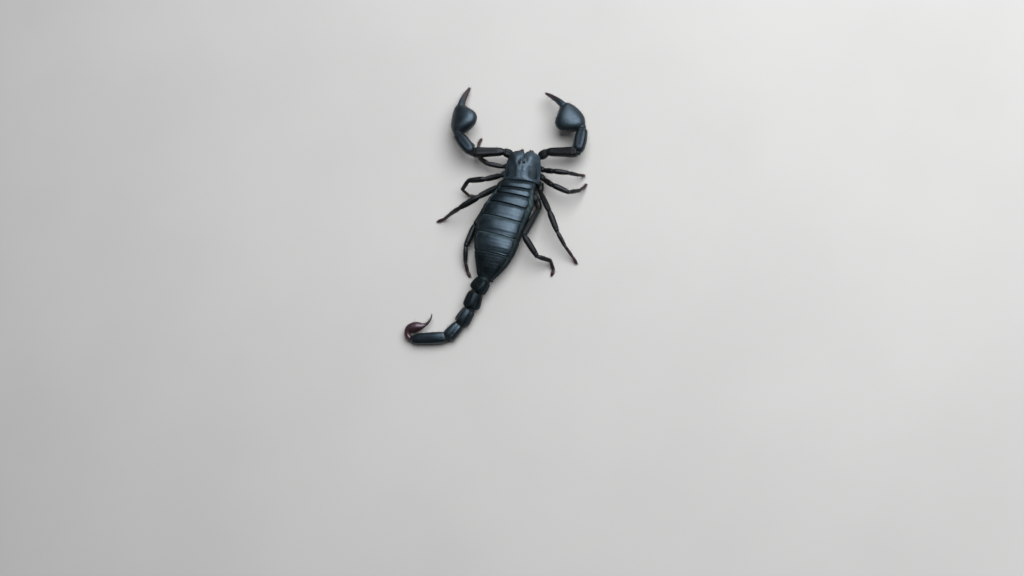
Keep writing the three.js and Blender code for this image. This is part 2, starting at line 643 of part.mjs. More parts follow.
const TAIL_FORM = {
  power: 2.5,
  furrow: 0.2,
  profile: [
    [0, 0.62, 0.64],
    [0.05, 0.74, 0.74],
    [0.14, 0.87, 0.85],
    [0.35, 0.97, 0.94],
    [0.58, 1.01, 1],
    [0.8, 0.98, 1.02],
    [0.92, 0.89, 0.94],
    [1, 0.66, 0.7],
  ],
};
const LAST_FORM = {
  power: 2.5,
  furrow: 0.1,
  profile: [
    [0, 0.68, 0.7],
    [0.04, 0.8, 0.82],
    [0.1, 0.91, 0.93],
    [0.35, 1.03, 1],
    [0.62, 0.98, 0.97],
    [0.82, 0.9, 0.93],
    [0.92, 0.81, 0.87],
    [1, 0.62, 0.64],
  ],
};
const tailStart = new THREE.Vector3(TAIL_ROOT.x, -tailRoot - TAIL_ROOT.behind, TAIL_ROOT.z);
const tailBones = layOut(
  tailStart,
  TAIL.map((segment) => segment.length),
  TAIL.map((segment) => segment.yaw),
  TAIL.map((segment) => segment.pitch),
  { rolls: TAIL.map((segment) => segment.roll), from: new THREE.Vector3(0, -1, 0) },
);
let joint = new THREE.Group();
joint.position.copy(tailStart);
root.add(joint);
TAIL.forEach(({ halfWidth, halfHeight }, i) => {
  const { profile, ...form } = i < TAIL.length - 1 ? TAIL_FORM : LAST_FORM;
  const rings = segmentRings(tailBones[i], profile, halfWidth, halfHeight, form);
  joint = place(joint, `metasoma_${i + 1}`, onFloor(tube(rings, 14)), shell, tailBones[i]);
});

const hinge = tailBones.at(-1);
const telsonAt = hinge.end.clone().addScaledVector(hinge.direction, TELSON_HINGE.ahead);
telsonAt.addScaledVector(hinge.up, TELSON_HINGE.above);
const telsonBone = { start: telsonAt.clone(), direction: hinge.up, up: hinge.direction };
telsonBone.side = hinge.up.clone().cross(hinge.direction);
const telsonRings = TELSON.map(([step, heading, halfWidth, halfHeight]) => {
  const turn = degToRad(heading);
  const climb = Math.tan(degToRad(TELSON_CLIMB));
  const ahead = new THREE.Vector3(Math.cos(turn), Math.sin(turn), climb).normalize();
  telsonAt.addScaledVector(ahead, step);
  const across = ahead.clone().cross(UP).normalize();
  return {
    centre: telsonAt.clone(),
    side: across.clone().cross(ahead).multiplyScalar(halfWidth),
    up: across.multiplyScalar(-halfHeight),
  };
});
place(joint, "telson", onFloor(tube(telsonRings, 12)), tipShell, telsonBone);

// ---- Centre the model over its own footprint ----

root.updateMatrixWorld(true);
const bounds = new THREE.Box3().setFromObject(root, true);
const part = new THREE.Group();
part.add(root);
root.position.set(-(bounds.min.x + bounds.max.x) / 2, -(bounds.min.y + bounds.max.y) / 2, -bounds.min.z);

export default part;
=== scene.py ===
"""A black forest scorpion as a still display model: its shell, skin, eyes and bristles.

Each piece is modelled in millimetres in a frame of its own, such as a limb segment's, and then set down in
metres in the part's frame, where it stands for the CAD nodes of the same name.
"""
import json
import math
import random
from itertools import pairwise

import bmesh
import bpy
import numpy as np
from mathutils import Matrix, Vector

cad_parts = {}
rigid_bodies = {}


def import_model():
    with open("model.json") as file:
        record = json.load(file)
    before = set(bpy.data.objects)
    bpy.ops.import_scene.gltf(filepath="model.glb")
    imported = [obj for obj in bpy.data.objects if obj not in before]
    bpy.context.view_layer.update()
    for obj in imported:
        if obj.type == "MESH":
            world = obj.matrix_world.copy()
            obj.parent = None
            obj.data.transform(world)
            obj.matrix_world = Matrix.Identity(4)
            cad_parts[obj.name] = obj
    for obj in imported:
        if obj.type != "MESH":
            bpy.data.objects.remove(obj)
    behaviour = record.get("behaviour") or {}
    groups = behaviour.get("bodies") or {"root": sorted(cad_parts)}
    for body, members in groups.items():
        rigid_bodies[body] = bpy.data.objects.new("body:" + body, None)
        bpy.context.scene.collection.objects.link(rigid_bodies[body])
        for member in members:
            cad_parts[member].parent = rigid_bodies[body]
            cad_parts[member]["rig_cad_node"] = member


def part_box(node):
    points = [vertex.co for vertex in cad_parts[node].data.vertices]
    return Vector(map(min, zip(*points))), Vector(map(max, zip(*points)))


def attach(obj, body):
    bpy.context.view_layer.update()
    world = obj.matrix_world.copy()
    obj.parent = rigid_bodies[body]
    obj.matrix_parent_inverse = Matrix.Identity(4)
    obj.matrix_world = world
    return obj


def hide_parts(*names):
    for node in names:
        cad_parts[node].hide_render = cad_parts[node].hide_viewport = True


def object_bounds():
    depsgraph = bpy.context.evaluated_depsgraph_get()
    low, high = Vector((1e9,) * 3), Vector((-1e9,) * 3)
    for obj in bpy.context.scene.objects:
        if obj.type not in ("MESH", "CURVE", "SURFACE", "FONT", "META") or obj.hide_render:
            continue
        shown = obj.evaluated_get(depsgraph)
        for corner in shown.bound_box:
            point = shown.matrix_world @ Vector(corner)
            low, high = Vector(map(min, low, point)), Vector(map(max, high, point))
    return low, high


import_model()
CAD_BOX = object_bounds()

bl_info = {
    "name": "Black Forest Scorpion",
    "version": (1, 0, 0),
    "blender": (4, 5, 0),
    "location": "View3D > Sidebar > Scorpion",
    "description": "Builds the shell, skin, eyes and bristles of a life-size scorpion round its CAD model",
    "category": "Object",
}

MM = 0.001
SIDES = {"left": -1, "right": 1}
SHARP_EDGES = 50  # degrees past which an edge of a plate stays sharp
ALL_SMOOTH = 180
LEVEL = 0.5  # the "raised" mark of a surface that is neither raised nor sunk

# ---- The animal's measures, in millimetres and degrees ----

EYES = {"spread": 1.05, "ahead": 8.8, "height": 12.75, "ball": 0.66}
SMALL_EYES = ((13.3, 6.3, 0.27), (12.5, 6.7, 0.29), (11.75, 6.95, 0.22))  # ahead, out and radius
HEAD_SHIFT = 1.0  # the head shield's middle stands this far to the right of the trunk's
SHIELD = {
    "length": 15.5,
    "half_width": [(0, 8.8), (4, 8.9), (8, 8.6), (12, 7.9), (15.5, 6.6)],
    "crest": [(0, 12.1), (5, 12.6), (9, 12.5), (12, 11.6), (15.5, 10.2)],
    "rim": [(0, 8.1), (8, 8), (15.5, 8.9)],
    "arch_power": 2.6,
    "notch": (1.5, 0.16),
    "corner": 1.6,
}
TERGITE_LENGTHS = (3.6, 3.6, 5.2, 7.3, 8.6, 8.9, 11.8)
STERNITE_LENGTHS = (6.2, 7.6, 8.2, 8.2, 8.4)
TRUNK_START = 0.2
TRUNK_END = TRUNK_START + sum(TERGITE_LENGTHS)
PLATE_ANGLE = 60  # from a plate's middle to each side, round the trunk
BACK, BELLY = 0, 180  # the middles of the plates, in degrees round the trunk
BODY = {
    "middle": [
        (0, 0.4), (5, -0.3), (10, -0.7), (15, -1.7), (23, -2.5), (30, -2.5), (36, -2.1), (42, -2),
        (49, -2.4),
    ],
    "half_width": [
        (0, 8.5), (6, 9.6), (11, 10.8), (16, 11.4), (24, 11.7), (31, 11.1), (38, 9.4), (44, 6.9), (49, 4.2),
    ],
    "top": [(0, 12.2), (8, 13), (20, 13.6), (30, 13.3), (40, 11.8), (49, 9.8)],
    "bottom": [(0, 6.3), (6, 6.1), (9.8, 3.3), (12, 2.1), (16, 1.4), (34, 1.4), (42, 2), (49, 3.4)],
    "waist": [(0, 7.9), (20, 7.3), (40, 6.6), (49, 6.4)],
    "swell": (0.86, 1.06),
    "turn": 12,
}
LEG_BONES = [
    (3.0, 8.0, 7.6, 5.8, 3.8, 3.4),
    (3.0, 9.2, 8.8, 7.0, 4.6, 3.8),
    (3.8, 12.4, 11.0, 7.6, 6.3, 5.2),
    (4.0, 17.6, 11.8, 7.6, 4.8, 3.6),
]
LEG_WIDTHS = (0.88, 0.94, 1.02, 1.08)
FOOT_HEIGHT = 0.12
LEG_POSES = {
    "right_1": ((7.4, 9.4, 5.0), (-23, -11, 7, 25, 38, 48), (11, 46, -3, -54, -58)),
    "right_2": ((8.3, 5.6, 4.9), (-39, -30, -10, 44, 70, 82), (10, 41, -6, -45, -43)),
    "right_3": ((9.3, 1.0, 4.7), (-80, -50, -54, -47, -39, -41), (8, 17, -5, -20, -26)),
    "right_4": ((8.8, -7.0, 3.9), (-68, -96, -43, 6, -58, -98), (0, 23, -15, -40, -26)),
    "left_1": ((7.4, 9.4, 5.0), (211, 187, 152, 119, 97, 86), (5, 17, -30, -12, -12)),
    "left_2": ((8.3, 5.6, 4.9), (228, 223, 197, 229, 338, 379), (11, 36, -4, -48, -42)),
    "left_3": ((8.9, 1.0, 4.8), (241, 237, 223, 208, 208, 209), (11, 33, -6, -41, -48)),
    "left_4": ((9.1, -4.4, 4.0), (210, 253.5, 265, 282, 297, 312), (-16, 4, 5, -18, -24)),
}
ARM_BONES = (4.4, 15.2, 12.0, 16.0)
ARM_BASE = {"at": (4.9, 11.2, 4.9), "length": 2.7, "climb": 19}
ARM_HIP = (6.9, 14.4, 6.0)
ARM_POSES = {
    "right": {"base": 66, "yaw": (42, 11, 95, 141), "pitch": (23, 4, -2, 3)},
    "left": {"base": 130, "yaw": (178, 197, 143, 104), "pitch": (23, 6, 1, -4)},
}
TAIL_ROOT = (-2.6, 0.5, 6.3)
TAIL = [
    {"length": 7.0, "half": (4.1, 3.7), "yaw": 249, "pitch": -6, "roll": 20},
    {"length": 8.6, "half": (3.8, 3.7), "yaw": 266, "pitch": -8, "roll": 40},
    {"length": 8.6, "half": (3.5, 3.5), "yaw": 250, "pitch": -7, "roll": 55},
    {"length": 8.8, "half": (3.2, 3.3), "yaw": 241, "pitch": -4, "roll": 70},
    {"length": 17.6, "half": (2.7, 2.9), "yaw": 197, "pitch": -1.2, "roll": 80},
]

# ---- Curves ----


def along(stations, at):
    """Reads a smooth curve through (position, value) stations, at one position or at many."""
    x, y = np.array(stations, float).T
    slope = np.empty_like(y)
    slope[1:-1] = (y[2:] - y[:-2]) / (x[2:] - x[:-2])
    slope[0] = (y[1] - y[0]) / (x[1] - x[0])
    slope[-1] = (y[-1] - y[-2]) / (x[-1] - x[-2])
    at = np.clip(at, x[0], x[-1])
    i = np.clip(np.searchsorted(x, at, side="right") - 1, 0, len(x) - 2)
    run = x[i + 1] - x[i]
    t = (at - x[i]) / run
    rise = y[i] * (2 * t**3 - 3 * t**2 + 1) + y[i + 1] * (3 * t**2 - 2 * t**3)
    return rise + run * (slope[i] * (t**3 - 2 * t**2 + t) + slope[i + 1] * (t**3 - t**2))


def column(stations, k):
    """One column of a table of stations, against its first."""
    return [(station[0], station[k]) for station in stations]


def step(at, start, end):
    """0 before start and 1 after end, smooth between them."""
    t = np.clip((at - start) / (end - start), 0, 1)
    return t * t * (3 - 2 * t)


def hump(distance, width):
    """A bell curve: 1 at no distance, and next to nothing past twice its width."""
    return np.exp(-((distance / width) ** 2))


def mix(a, b, share):
    return a + (b - a) * share


def eased(first, last, steps):
    """Positions from first to last, closer together towards both ends."""
    return [mix(first, last, (1 - math.cos(math.pi * i / steps)) / 2) for i in range(steps + 1)]


# ---- Frames ----


def eye_middle(side):
    low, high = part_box(f"median_eye_{side}")
    return (low + high) / 2 / MM


def head_frame():
    """The head's own frame: the middle of the shield's rear edge over the floor, with +Y ahead."""
    left, right = eye_middle("left"), eye_middle("right")
    across = right - left
    turn = Matrix.Rotation(math.atan2(across.y, across.x), 4, "Z")
    eyes = turn @ Vector((0, EYES["ahead"], EYES["height"]))
    return Matrix.Translation((left + right) / 2 - eyes) @ turn


HEAD = head_frame()
TRUNK = Matrix.Translation(HEAD.translation - Vector((HEAD_SHIFT, 0, 0)))
HEAD_YAW = HEAD.to_euler().z


def lay_out(start, lengths, yaws, pitches, rolls=None):
    """The frames of a limb's segments, root to tip, and its end: +Y is along a segment, +Z its top."""
    at = Vector(start)
    frames = []
    for length, yaw, pitch, roll in zip(lengths, yaws, pitches, rolls or [0] * len(lengths)):
        yaw, pitch = math.radians(yaw), math.radians(pitch)
        ahead = Vector((math.cos(pitch) * math.cos(yaw), math.cos(pitch) * math.sin(yaw), math.sin(pitch)))
        up = (Vector((0, 0, 1)) - ahead * ahead.z).normalized()
        up = Matrix.Rotation(math.radians(roll), 3, ahead) @ up
        turned = Matrix((ahead.cross(up), ahead, up)).transposed().to_4x4()
        frames.append(Matrix.Translation(at) @ turned)
        at = at + ahead * length
    return frames, at


def leg_frames(name):
    """The frames of one leg's six segments, of which the last climbs down to the floor."""
    hip, yaws, pitches = LEG_POSES[name]
    lengths = LEG_BONES[int(name[-1]) - 1]
    start = HEAD @ Vector((SIDES[name[:-2]] * hip[0], hip[1], hip[2]))
    ankle = lay_out(start, lengths[:5], yaws, pitches)[1]
    last = math.degrees(math.asin((FOOT_HEIGHT - ankle.z) / lengths[5]))
    return lay_out(start, lengths, yaws, (*pitches, last))[0]


def arm_frames(side):
    pose = ARM_POSES[side]
    start = HEAD @ Vector((SIDES[side] * ARM_HIP[0], ARM_HIP[1], ARM_HIP[2]))
    return lay_out(start, ARM_BONES, pose["yaw"], pose["pitch"])[0]


def tail_frames():
    start = TRUNK @ Vector((TAIL_ROOT[0], -TRUNK_END - TAIL_ROOT[1], TAIL_ROOT[2]))
    measures = ("length", "yaw", "pitch", "roll")
    return lay_out(start, *([bone[m] for bone in TAIL] for m in measures))


# ---- Modelling by hand ----


def pick(piece):
    bpy.ops.object.select_all(action="DESELECT")
    piece.select_set(True)
    bpy.context.view_layer.objects.active = piece


def add(name, primitive, **settings):
    """Adds a primitive at its size and place, and leaves its object at the origin."""
    bpy.ops.object.select_all(action="DESELECT")
    getattr(bpy.ops.mesh, f"primitive_{primitive}_add")(**settings)
    piece = bpy.context.object
    piece.name = piece.data.name = name
    bpy.ops.object.transform_apply(location=True, rotation=True, scale=True)
    return piece


def modify(piece, kind, **settings):
    """Adds a modifier and applies it."""
    pick(piece)
    modifier = piece.modifiers.new(kind.title(), kind)
    for key, value in settings.items():
        setattr(modifier, key, value)
    bpy.ops.object.modifier_apply(modifier=modifier.name)


def refine(piece):
    """Smooths a piece by one level of subdivision."""
    modify(piece, "SUBSURF", levels=1, render_levels=1)


def round_edges(piece, width, angle):
    """Rounds the edges that turn by more than an angle in degrees."""
    modify(piece, "BEVEL", width=width, segments=2, limit_method="ANGLE", angle_limit=math.radians(angle))


def sheet(name, across, lengthwise):
    """A flat square plate to be shaped, from -1 to 1 each way, with its face at height 0 and 1 thick."""
    plate = add(name, "grid", x_subdivisions=across, y_subdivisions=lengthwise, size=2)
    modify(plate, "SOLIDIFY", thickness=1, offset=-1)
    bpy.ops.object.mode_set(mode="EDIT")
    bpy.ops.mesh.select_all(action="SELECT")
    bpy.ops.mesh.normals_make_consistent(inside=False)
    bpy.ops.object.mode_set(mode="OBJECT")
    return plate


def turn_selected(angle, axis, centre):
    """Turns what is selected anticlockwise by angle in degrees, which takes a minus without a window."""
    bpy.ops.transform.rotate(value=-math.radians(angle), orient_axis=axis, center_override=centre)


def draw_out(name, rings, sides, power=2.0):
    """A closed tube drawn out ring by ring. A ring is (centre, half width, half height, turn about Z)."""
    centre, width, height, turn = rings[0]
    tube = add(name, "circle", vertices=sides, radius=1, fill_type="NGON", rotation=(math.pi / 2, 0, 0))
    reshape(tube, lambda p: p * (np.abs(p[:, :1]) ** power + np.abs(p[:, 2:]) ** power) ** (-1 / power))
    pick(tube)
    bpy.ops.object.mode_set(mode="EDIT")
    bpy.ops.mesh.select_all(action="SELECT")
    bpy.ops.transform.resize(value=(width, 1, height))
    turn_selected(turn, "Z", (0, 0, 0))
    bpy.ops.transform.translate(value=centre)
    for before, ring in pairwise(rings):
        moved = Vector(ring[0]) - Vector(before[0])
        bpy.ops.mesh.extrude_region_move(TRANSFORM_OT_translate={"value": moved})
        if before[3]:
            turn_selected(-before[3], "Z", ring[0])
        bpy.ops.transform.resize(
            value=(ring[1] / before[1], 1, ring[2] / before[2]), center_override=ring[0]
        )
        if ring[3]:
            turn_selected(ring[3], "Z", ring[0])
    bpy.ops.mesh.select_all(action="SELECT")
    bpy.ops.mesh.normals_make_consistent(inside=False)
    bpy.ops.object.mode_set(mode="OBJECT")
    return in_order(tube)


def read(mesh, field):
    """One field of every vertex, such as its place or its normal, as rows of three."""
    values = np.empty(len(mesh.vertices) * 3, np.float32)
    mesh.vertices.foreach_get(field, values)
    return values.reshape(-1, 3).astype(float)


def in_order(piece):
    """Numbers a mesh's vertices and faces by their places. Extrusion and the sphere number them anew in
    each run, and bristles are dealt out by number, so without this they would stand elsewhere each time."""
    mesh = piece.data
    points = read(mesh, "co")
    order = np.lexsort(points.T)
    rank = np.argsort(order)
    faces = []
    for face in mesh.polygons:
        corners = rank[list(face.vertices)].tolist()
        first = corners.index(min(corners))
        faces.append(corners[first:] + corners[:first])
    mesh.clear_geometry()
    mesh.from_pydata(points[order].tolist(), [], sorted(faces))
    return piece


def reshape(piece, place):
    """Moves every vertex: place turns an array of points into the array of their new places."""
    piece.data.vertices.foreach_set("co", place(read(piece.data, "co")).astype(np.float32).ravel())
    piece.data.update()


def mark(piece, name, values):
    """Stores one number per vertex, which the piece's material reads."""
    mesh = piece.data
    attribute = mesh.attributes.get(name) or mesh.attributes.new(name, "FLOAT", "POINT")
    attribute.data.foreach_set("value", np.broadcast_to(values, len(mesh.vertices)).astype(np.float32))


def emboss(piece, height):
    """Raises a surface along its normals by height(points), and marks how raised or sunk it is; the shell
    material paints shade into the sunk places.
    """
    points, normals = read(piece.data, "co"), read(piece.data, "normal")
    raised = height(points)
    reshape(piece, lambda p: p + normals * raised[:, None])
    mark(piece, "raised", np.clip(LEVEL + 2 * raised, 0, 1))


GRANULE_EDGE = 0.55  # how far out a granule reaches, as a share of its cell
LEAST_WEIGHT = 0.02


def granulate(piece, size, height, mask):
    """Covers a surface with rounded granules, as high as mask(points) says, from 0 to 1."""
    texture = bpy.data.textures.new("granules", "VORONOI")
    texture.noise_scale = size
    texture.use_color_ramp = True
    texture.color_ramp.elements[0].color = (1, 1, 1, 1)
    texture.color_ramp.elements[1].color = (0, 0, 0, 1)
    texture.color_ramp.elements[1].position = GRANULE_EDGE
    group = piece.vertex_groups.new(name="granules")
    for i, weight in enumerate(mask(read(piece.data, "co"))):
        if weight > LEAST_WEIGHT:
            group.add([i], float(weight), "REPLACE")
    modify(
        piece, "DISPLACE", texture=texture, strength=height, mid_level=0,
        vertex_group=group.name, texture_coords="LOCAL",
    )
    piece.vertex_groups.clear()


def copy_of(piece, name):
    """A copy with its own mesh."""
    copy = piece.copy()
    copy.data = piece.data.copy()
    copy.name = copy.data.name = name
    bpy.context.scene.collection.objects.link(copy)
    return copy


def join(pieces, name):
    bpy.ops.object.select_all(action="DESELECT")
    for piece in pieces:
        piece.select_set(True)
    bpy.context.view_layer.objects.active = pieces[0]
    bpy.ops.object.join()
    pieces[0].name = pieces[0].data.name = name
    return pieces[0]


def place_in(piece, where, mirrored=False):
    """Moves a piece from its own frame to the part's, still in millimetres; mirrored swaps its sides."""
    piece.data.transform(where @ Matrix.Scale(-1 if mirrored else 1, 4, (1, 0, 0)))
    if mirrored:
        piece.data.flip_normals()
    piece.data.update()
    return piece


def hand_over(piece, material, nodes=(), crease=SHARP_EDGES):
    """Sets a finished piece down in metres, inside the CAD box, where it stands for its CAD nodes."""
    low, high = (np.array(corner) / MM for corner in CAD_BOX)
    reshape(piece, lambda p: np.clip(p, low, high))
    piece.data.transform(Matrix.Scale(MM, 4))
    piece.data.update()
    piece.data.materials.clear()
    piece.data.materials.append(material)
    pick(piece)
    bpy.ops.object.shade_smooth_by_angle(angle=math.radians(crease))
    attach(piece, "root")
    if nodes:
        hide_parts(*nodes)
    return piece


def drop(piece):
    bpy.data.objects.remove(piece)


# ---- Finishes ----

# Each horn: whose colours it takes, how much duller it is, its grain, the grain's depth and its shine.
HORNS = {
    "head_horn": ("shell", 0.14, 3200.0, 0.00004, 1.0),
    "body_horn": ("shell", 0.0, 3200.0, 0.00004, 0.68),
    "elbow_horn": ("shell", 0.0, 3200.0, 0.00005, 0.4),
    "tail_horn": ("shell", 0.0, 3200.0, 0.00005, 0.16),
    "hand_horn": ("shell", 0.08, 2600.0, 0.00003, 0.8),
    "limb_horn": ("limbs", 0.0, 3600.0, 0.00004, 0.2),
    "tip_horn": ("limbs", -0.02, 4200.0, 0.00003, 0.3),
    "sting_horn": ("sting", 0.0, 3600.0, 0.00004, 0.7),
}
COAT_SHARE = 0.15  # of a horn's shine
COAT_ROUGHNESS = 0.28
UNEVEN_DULLNESS = 0.14
PATCH_DULLNESS = 0.08
HOLLOW_DULLNESS = 0.45
PAINTED_HOLLOW_SHADE = 0.35  # how dark the painted shade in a hollow is against the deep colour
# how dark the painted shade in the skin's creases is against the fold colour
PAINTED_CREASE_SHADE = 0.4
CREASE_DEPTH = 0.00006
SKIN_SHINE = 0.25
SKIN_SHEEN = (0.6, 0.84, 1.0)
LENS = {"ball": (0.003, 0.003, 0.004), "foot": (0.008, 0.006, 0.005), "roughness": 0.16, "shine": 0.35}
BRISTLE = {"root": (0.035, 0.016, 0.009), "point": (0.2, 0.09, 0.04), "roughness": 0.4}


def node(tree, kind, inputs=None, **settings):
    """Adds a shader node; each input is a value or another node's output."""
    made = tree.nodes.new(f"ShaderNode{kind}")
    for key, value in settings.items():
        setattr(made, key, value)
    for key, value in (inputs or {}).items():
        if isinstance(value, bpy.types.NodeSocket):
            tree.links.new(value, made.inputs[key])
        else:
            made.inputs[key].default_value = value
    return made


def new_group(name, inputs, outputs):
    """A shader node group with named float or vector inputs and float outputs, and its two ends."""
    tree = bpy.data.node_groups.new(name, "ShaderNodeTree")
    for label, kind, value in inputs:
        socket = tree.interface.new_socket(label, in_out="INPUT", socket_type=f"NodeSocket{kind}")
        if value is not None:
            socket.default_value = value
    for label in outputs:
        tree.interface.new_socket(label, in_out="OUTPUT", socket_type="NodeSocketFloat")
    return tree, tree.nodes.new("NodeGroupInput").outputs, tree.nodes.new("NodeGroupOutput")


def math_node(tree, operation, a, b=0.0, c=0.0):
    return node(tree, "Math", {0: a, 1: b, 2: c}, operation=operation).outputs[0]


def ramp(tree, factor, low, high, start=0.0, end=1.0):
    """Maps a factor's stretch from start to end onto low to high."""
    settings = {"Value": factor, "From Min": start, "From Max": end, "To Min": low, "To Max": high}
    return node(tree, "MapRange", settings, interpolation_type="SMOOTHSTEP").outputs[0]


def cuticle_group():
    """Horny skin: low domes with pits between them, and how worn or dusty the place is."""
    tree, given, out = new_group(
        "cuticle",
        [("Vector", "Vector", None), ("Grain", "Float", 3500.0), ("Pits", "Float", 900.0)],
        ("Height", "Patches", "Fine"),
    )
    grain = node(tree, "TexVoronoi", {"Vector": given[0], "Scale": given[1]}, feature="SMOOTH_F1")
    ripple = node(tree, "TexNoise", {"Vector": given[0], "Scale": given[1], "Detail": 3.0})
    pits = node(tree, "TexVoronoi", {"Vector": given[0], "Scale": given[2], "Randomness": 1.0})
    pit = ramp(tree, pits.outputs["Distance"], -0.7, 0.0, 0.04, 0.22)
    domes = ramp(tree, grain.outputs["Distance"], 0.4, 0.0, 0.0, 0.8)
    rough = math_node(tree, "MULTIPLY_ADD", ripple.outputs[0], 0.35, domes)
    tree.links.new(math_node(tree, "ADD", rough, pit), out.inputs["Height"])
    patches = node(tree, "TexNoise", {"Vector": given[0], "Scale": 260.0, "Detail": 5.0, "Roughness": 0.6})
    tree.links.new(ramp(tree, patches.outputs[0], 0.0, 1.0, 0.35, 0.68), out.inputs["Patches"])
    fine = node(tree, "TexNoise", {"Vector": given[0], "Scale": 1500.0, "Detail": 4.0, "Roughness": 0.65})
    tree.links.new(ramp(tree, fine.outputs[0], 0.0, 1.0, 0.3, 0.7), out.inputs["Fine"])


def wrinkle_group():
    """Soft skin: folds that run round the body, broken up by fine creases."""
    tree, given, out = new_group(
        "wrinkles", [("Vector", "Vector", None), ("Scale", "Float", 420.0)], ("Height", "Patches")
    )
    warp = node(tree, "TexNoise", {"Vector": given[0], "Scale": 300.0, "Detail": 3.0})
    folds = node(
        tree, "TexWave", {"Vector": given[0], "Scale": given[1], "Distortion": 6.0, "Detail": 3.0},
        bands_direction="Y",
    )
    crumple = node(tree, "TexNoise", {"Vector": given[0], "Scale": 1900.0, "Detail": 5.0, "Roughness": 0.7})
    height = math_node(tree, "MULTIPLY_ADD", crumple.outputs[0], 0.8, folds.outputs["Fac"])
    tree.links.new(height, out.inputs["Height"])
    tree.links.new(warp.outputs[0], out.inputs["Patches"])


def use_group(tree, name, inputs):
    return node(tree, "Group", inputs, node_tree=bpy.data.node_groups[name]).outputs


def mixed(tree, factor, a, b):
    """A mix of two colours, whose sockets on the Mix node are the seventh and eighth."""
    return node(tree, "Mix", {0: factor, 6: a, 7: b}, data_type="RGBA").outputs[2]


def attribute(tree, name):
    return node(tree, "Attribute", attribute_name=name).outputs["Fac"]


def new_material(name):
    material = bpy.data.materials.new(name)
    material.use_nodes = True
    tree = material.node_tree
    place = node(tree, "TexCoord").outputs["Object"]
    return material, tree, tree.nodes["Principled BSDF"], place


def rgba(colour):
    return (*colour, 1.0)


def shell_material(name, colours, gloss, grain, relief, shine, tip):
    """Glossy shell: dark and light patches, pale worn ridges, dull hollows darkened with painted shade, and
    a tint towards the tip.
    """
    material, tree, surface, place = new_material(name)
    height, patches, fine = use_group(tree, "cuticle", {"Vector": place, "Grain": grain})
    raised = attribute(tree, "raised")
    colour = mixed(tree, patches, rgba(colours.deep), rgba(colours.lit))
    blotched = math_node(tree, "MULTIPLY_ADD", patches, 0.25, attribute(tree, "tip"))
    colour = mixed(tree, ramp(tree, blotched, 0.0, 1.0, 0.25, 1.0), colour, rgba(tip))
    ridges = ramp(tree, raised, 0.0, 0.35, 0.6, 1.0)
    colour = mixed(tree, ridges, colour, rgba(colours.worn))
    # Painted shade: sunk places take a darker copy of the deep colour, as well as a duller surface.
    hollows = ramp(tree, raised, 0.75, 0.0, 0.1, 0.5)
    colour = mixed(tree, hollows, colour, rgba([c * PAINTED_HOLLOW_SHADE for c in colours.deep]))
    tree.links.new(colour, surface.inputs["Base Color"])
    dull = math_node(tree, "MULTIPLY_ADD", fine, UNEVEN_DULLNESS, gloss - UNEVEN_DULLNESS / 2)
    dull = math_node(tree, "MULTIPLY_ADD", patches, PATCH_DULLNESS, dull)
    dull = math_node(tree, "MULTIPLY_ADD", hollows, HOLLOW_DULLNESS, dull)
    tree.links.new(dull, surface.inputs["Roughness"])
    bump = node(tree, "Bump", {"Height": height, "Distance": relief, "Strength": 1.0})
    tree.links.new(bump.outputs[0], surface.inputs["Normal"])
    surface.inputs["Specular IOR Level"].default_value = shine
    surface.inputs["Coat Weight"].default_value = shine * COAT_SHARE
    surface.inputs["Coat Roughness"].default_value = COAT_ROUGHNESS
    surface.inputs["Specular Tint"].default_value = rgba(colours.sheen)
    return material


def skin_material(name, colours):
    """Soft folded skin between the plates, paler where it is stretched, with painted shade in its creases.
    """
    material, tree, surface, place = new_material(name)
    height, patches = use_group(tree, "wrinkles", {"Vector": place})
    colour = mixed(tree, ramp(tree, patches, 0.0, 1.0, 0.4, 0.62), rgba(colours.skin), rgba(colours.fold))
    colour = mixed(tree, attribute(tree, "pale"), colour, rgba(colours.stretched))
    # Painted shade: the colour darkens towards a dim copy of the fold colour down in the creases.
    creases = ramp(tree, height, 0.45, 0.0, -0.3, 0.5)
    colour = mixed(tree, creases, colour, rgba([c * PAINTED_CREASE_SHADE for c in colours.fold]))
    tree.links.new(colour, surface.inputs["Base Color"])
    tree.links.new(ramp(tree, patches, 0.5, 0.7), surface.inputs["Roughness"])
    surface.inputs["Specular IOR Level"].default_value = SKIN_SHINE
    surface.inputs["Specular Tint"].default_value = rgba(SKIN_SHEEN)
    bump = node(tree, "Bump", {"Height": height, "Distance": CREASE_DEPTH, "Strength": 1.0})
    tree.links.new(bump.outputs[0], surface.inputs["Normal"])
    return material


def lens_material(name):
    """A black eye with a trace of brown round its foot."""
    material, tree, surface, _ = new_material(name)
    colour = mixed(tree, attribute(tree, "rim"), rgba(LENS["ball"]), rgba(LENS["foot"]))
    tree.links.new(colour, surface.inputs["Base Color"])
    surface.inputs["Roughness"].default_value = LENS["roughness"]
    surface.inputs["Specular IOR Level"].default_value = LENS["shine"]
    return material


def bristle_material(name):
    """Stiff hairs, dark at the root and foxy at the point."""
    material, tree, surface, _ = new_material(name)
    colour = mixed(tree, attribute(tree, "tip"), rgba(BRISTLE["root"]), rgba(BRISTLE["point"]))
    tree.links.new(colour, surface.inputs["Base Color"])
    surface.inputs["Roughness"].default_value = BRISTLE["roughness"]
    return material


# ---- Head ----


def shield_front(across):
    """Where the front margin lies: two rounded lobes with a notch between them."""
    depth, share = SHIELD["notch"]
    return SHIELD["length"] - depth * hump(across, share) - SHIELD["corner"] * np.abs(across) ** 4


def line_distance(x, y, start, end):
    """Distance of points from a straight line between two points."""
    (x1, y1), (x2, y2) = start, end
    run, rise = x2 - x1, y2 - y1
    t = np.clip(((x - x1) * run + (y - y1) * rise) / (run**2 + rise**2), 0, 1)
    return np.hypot(x - x1 - t * run, y - y1 - t * rise)


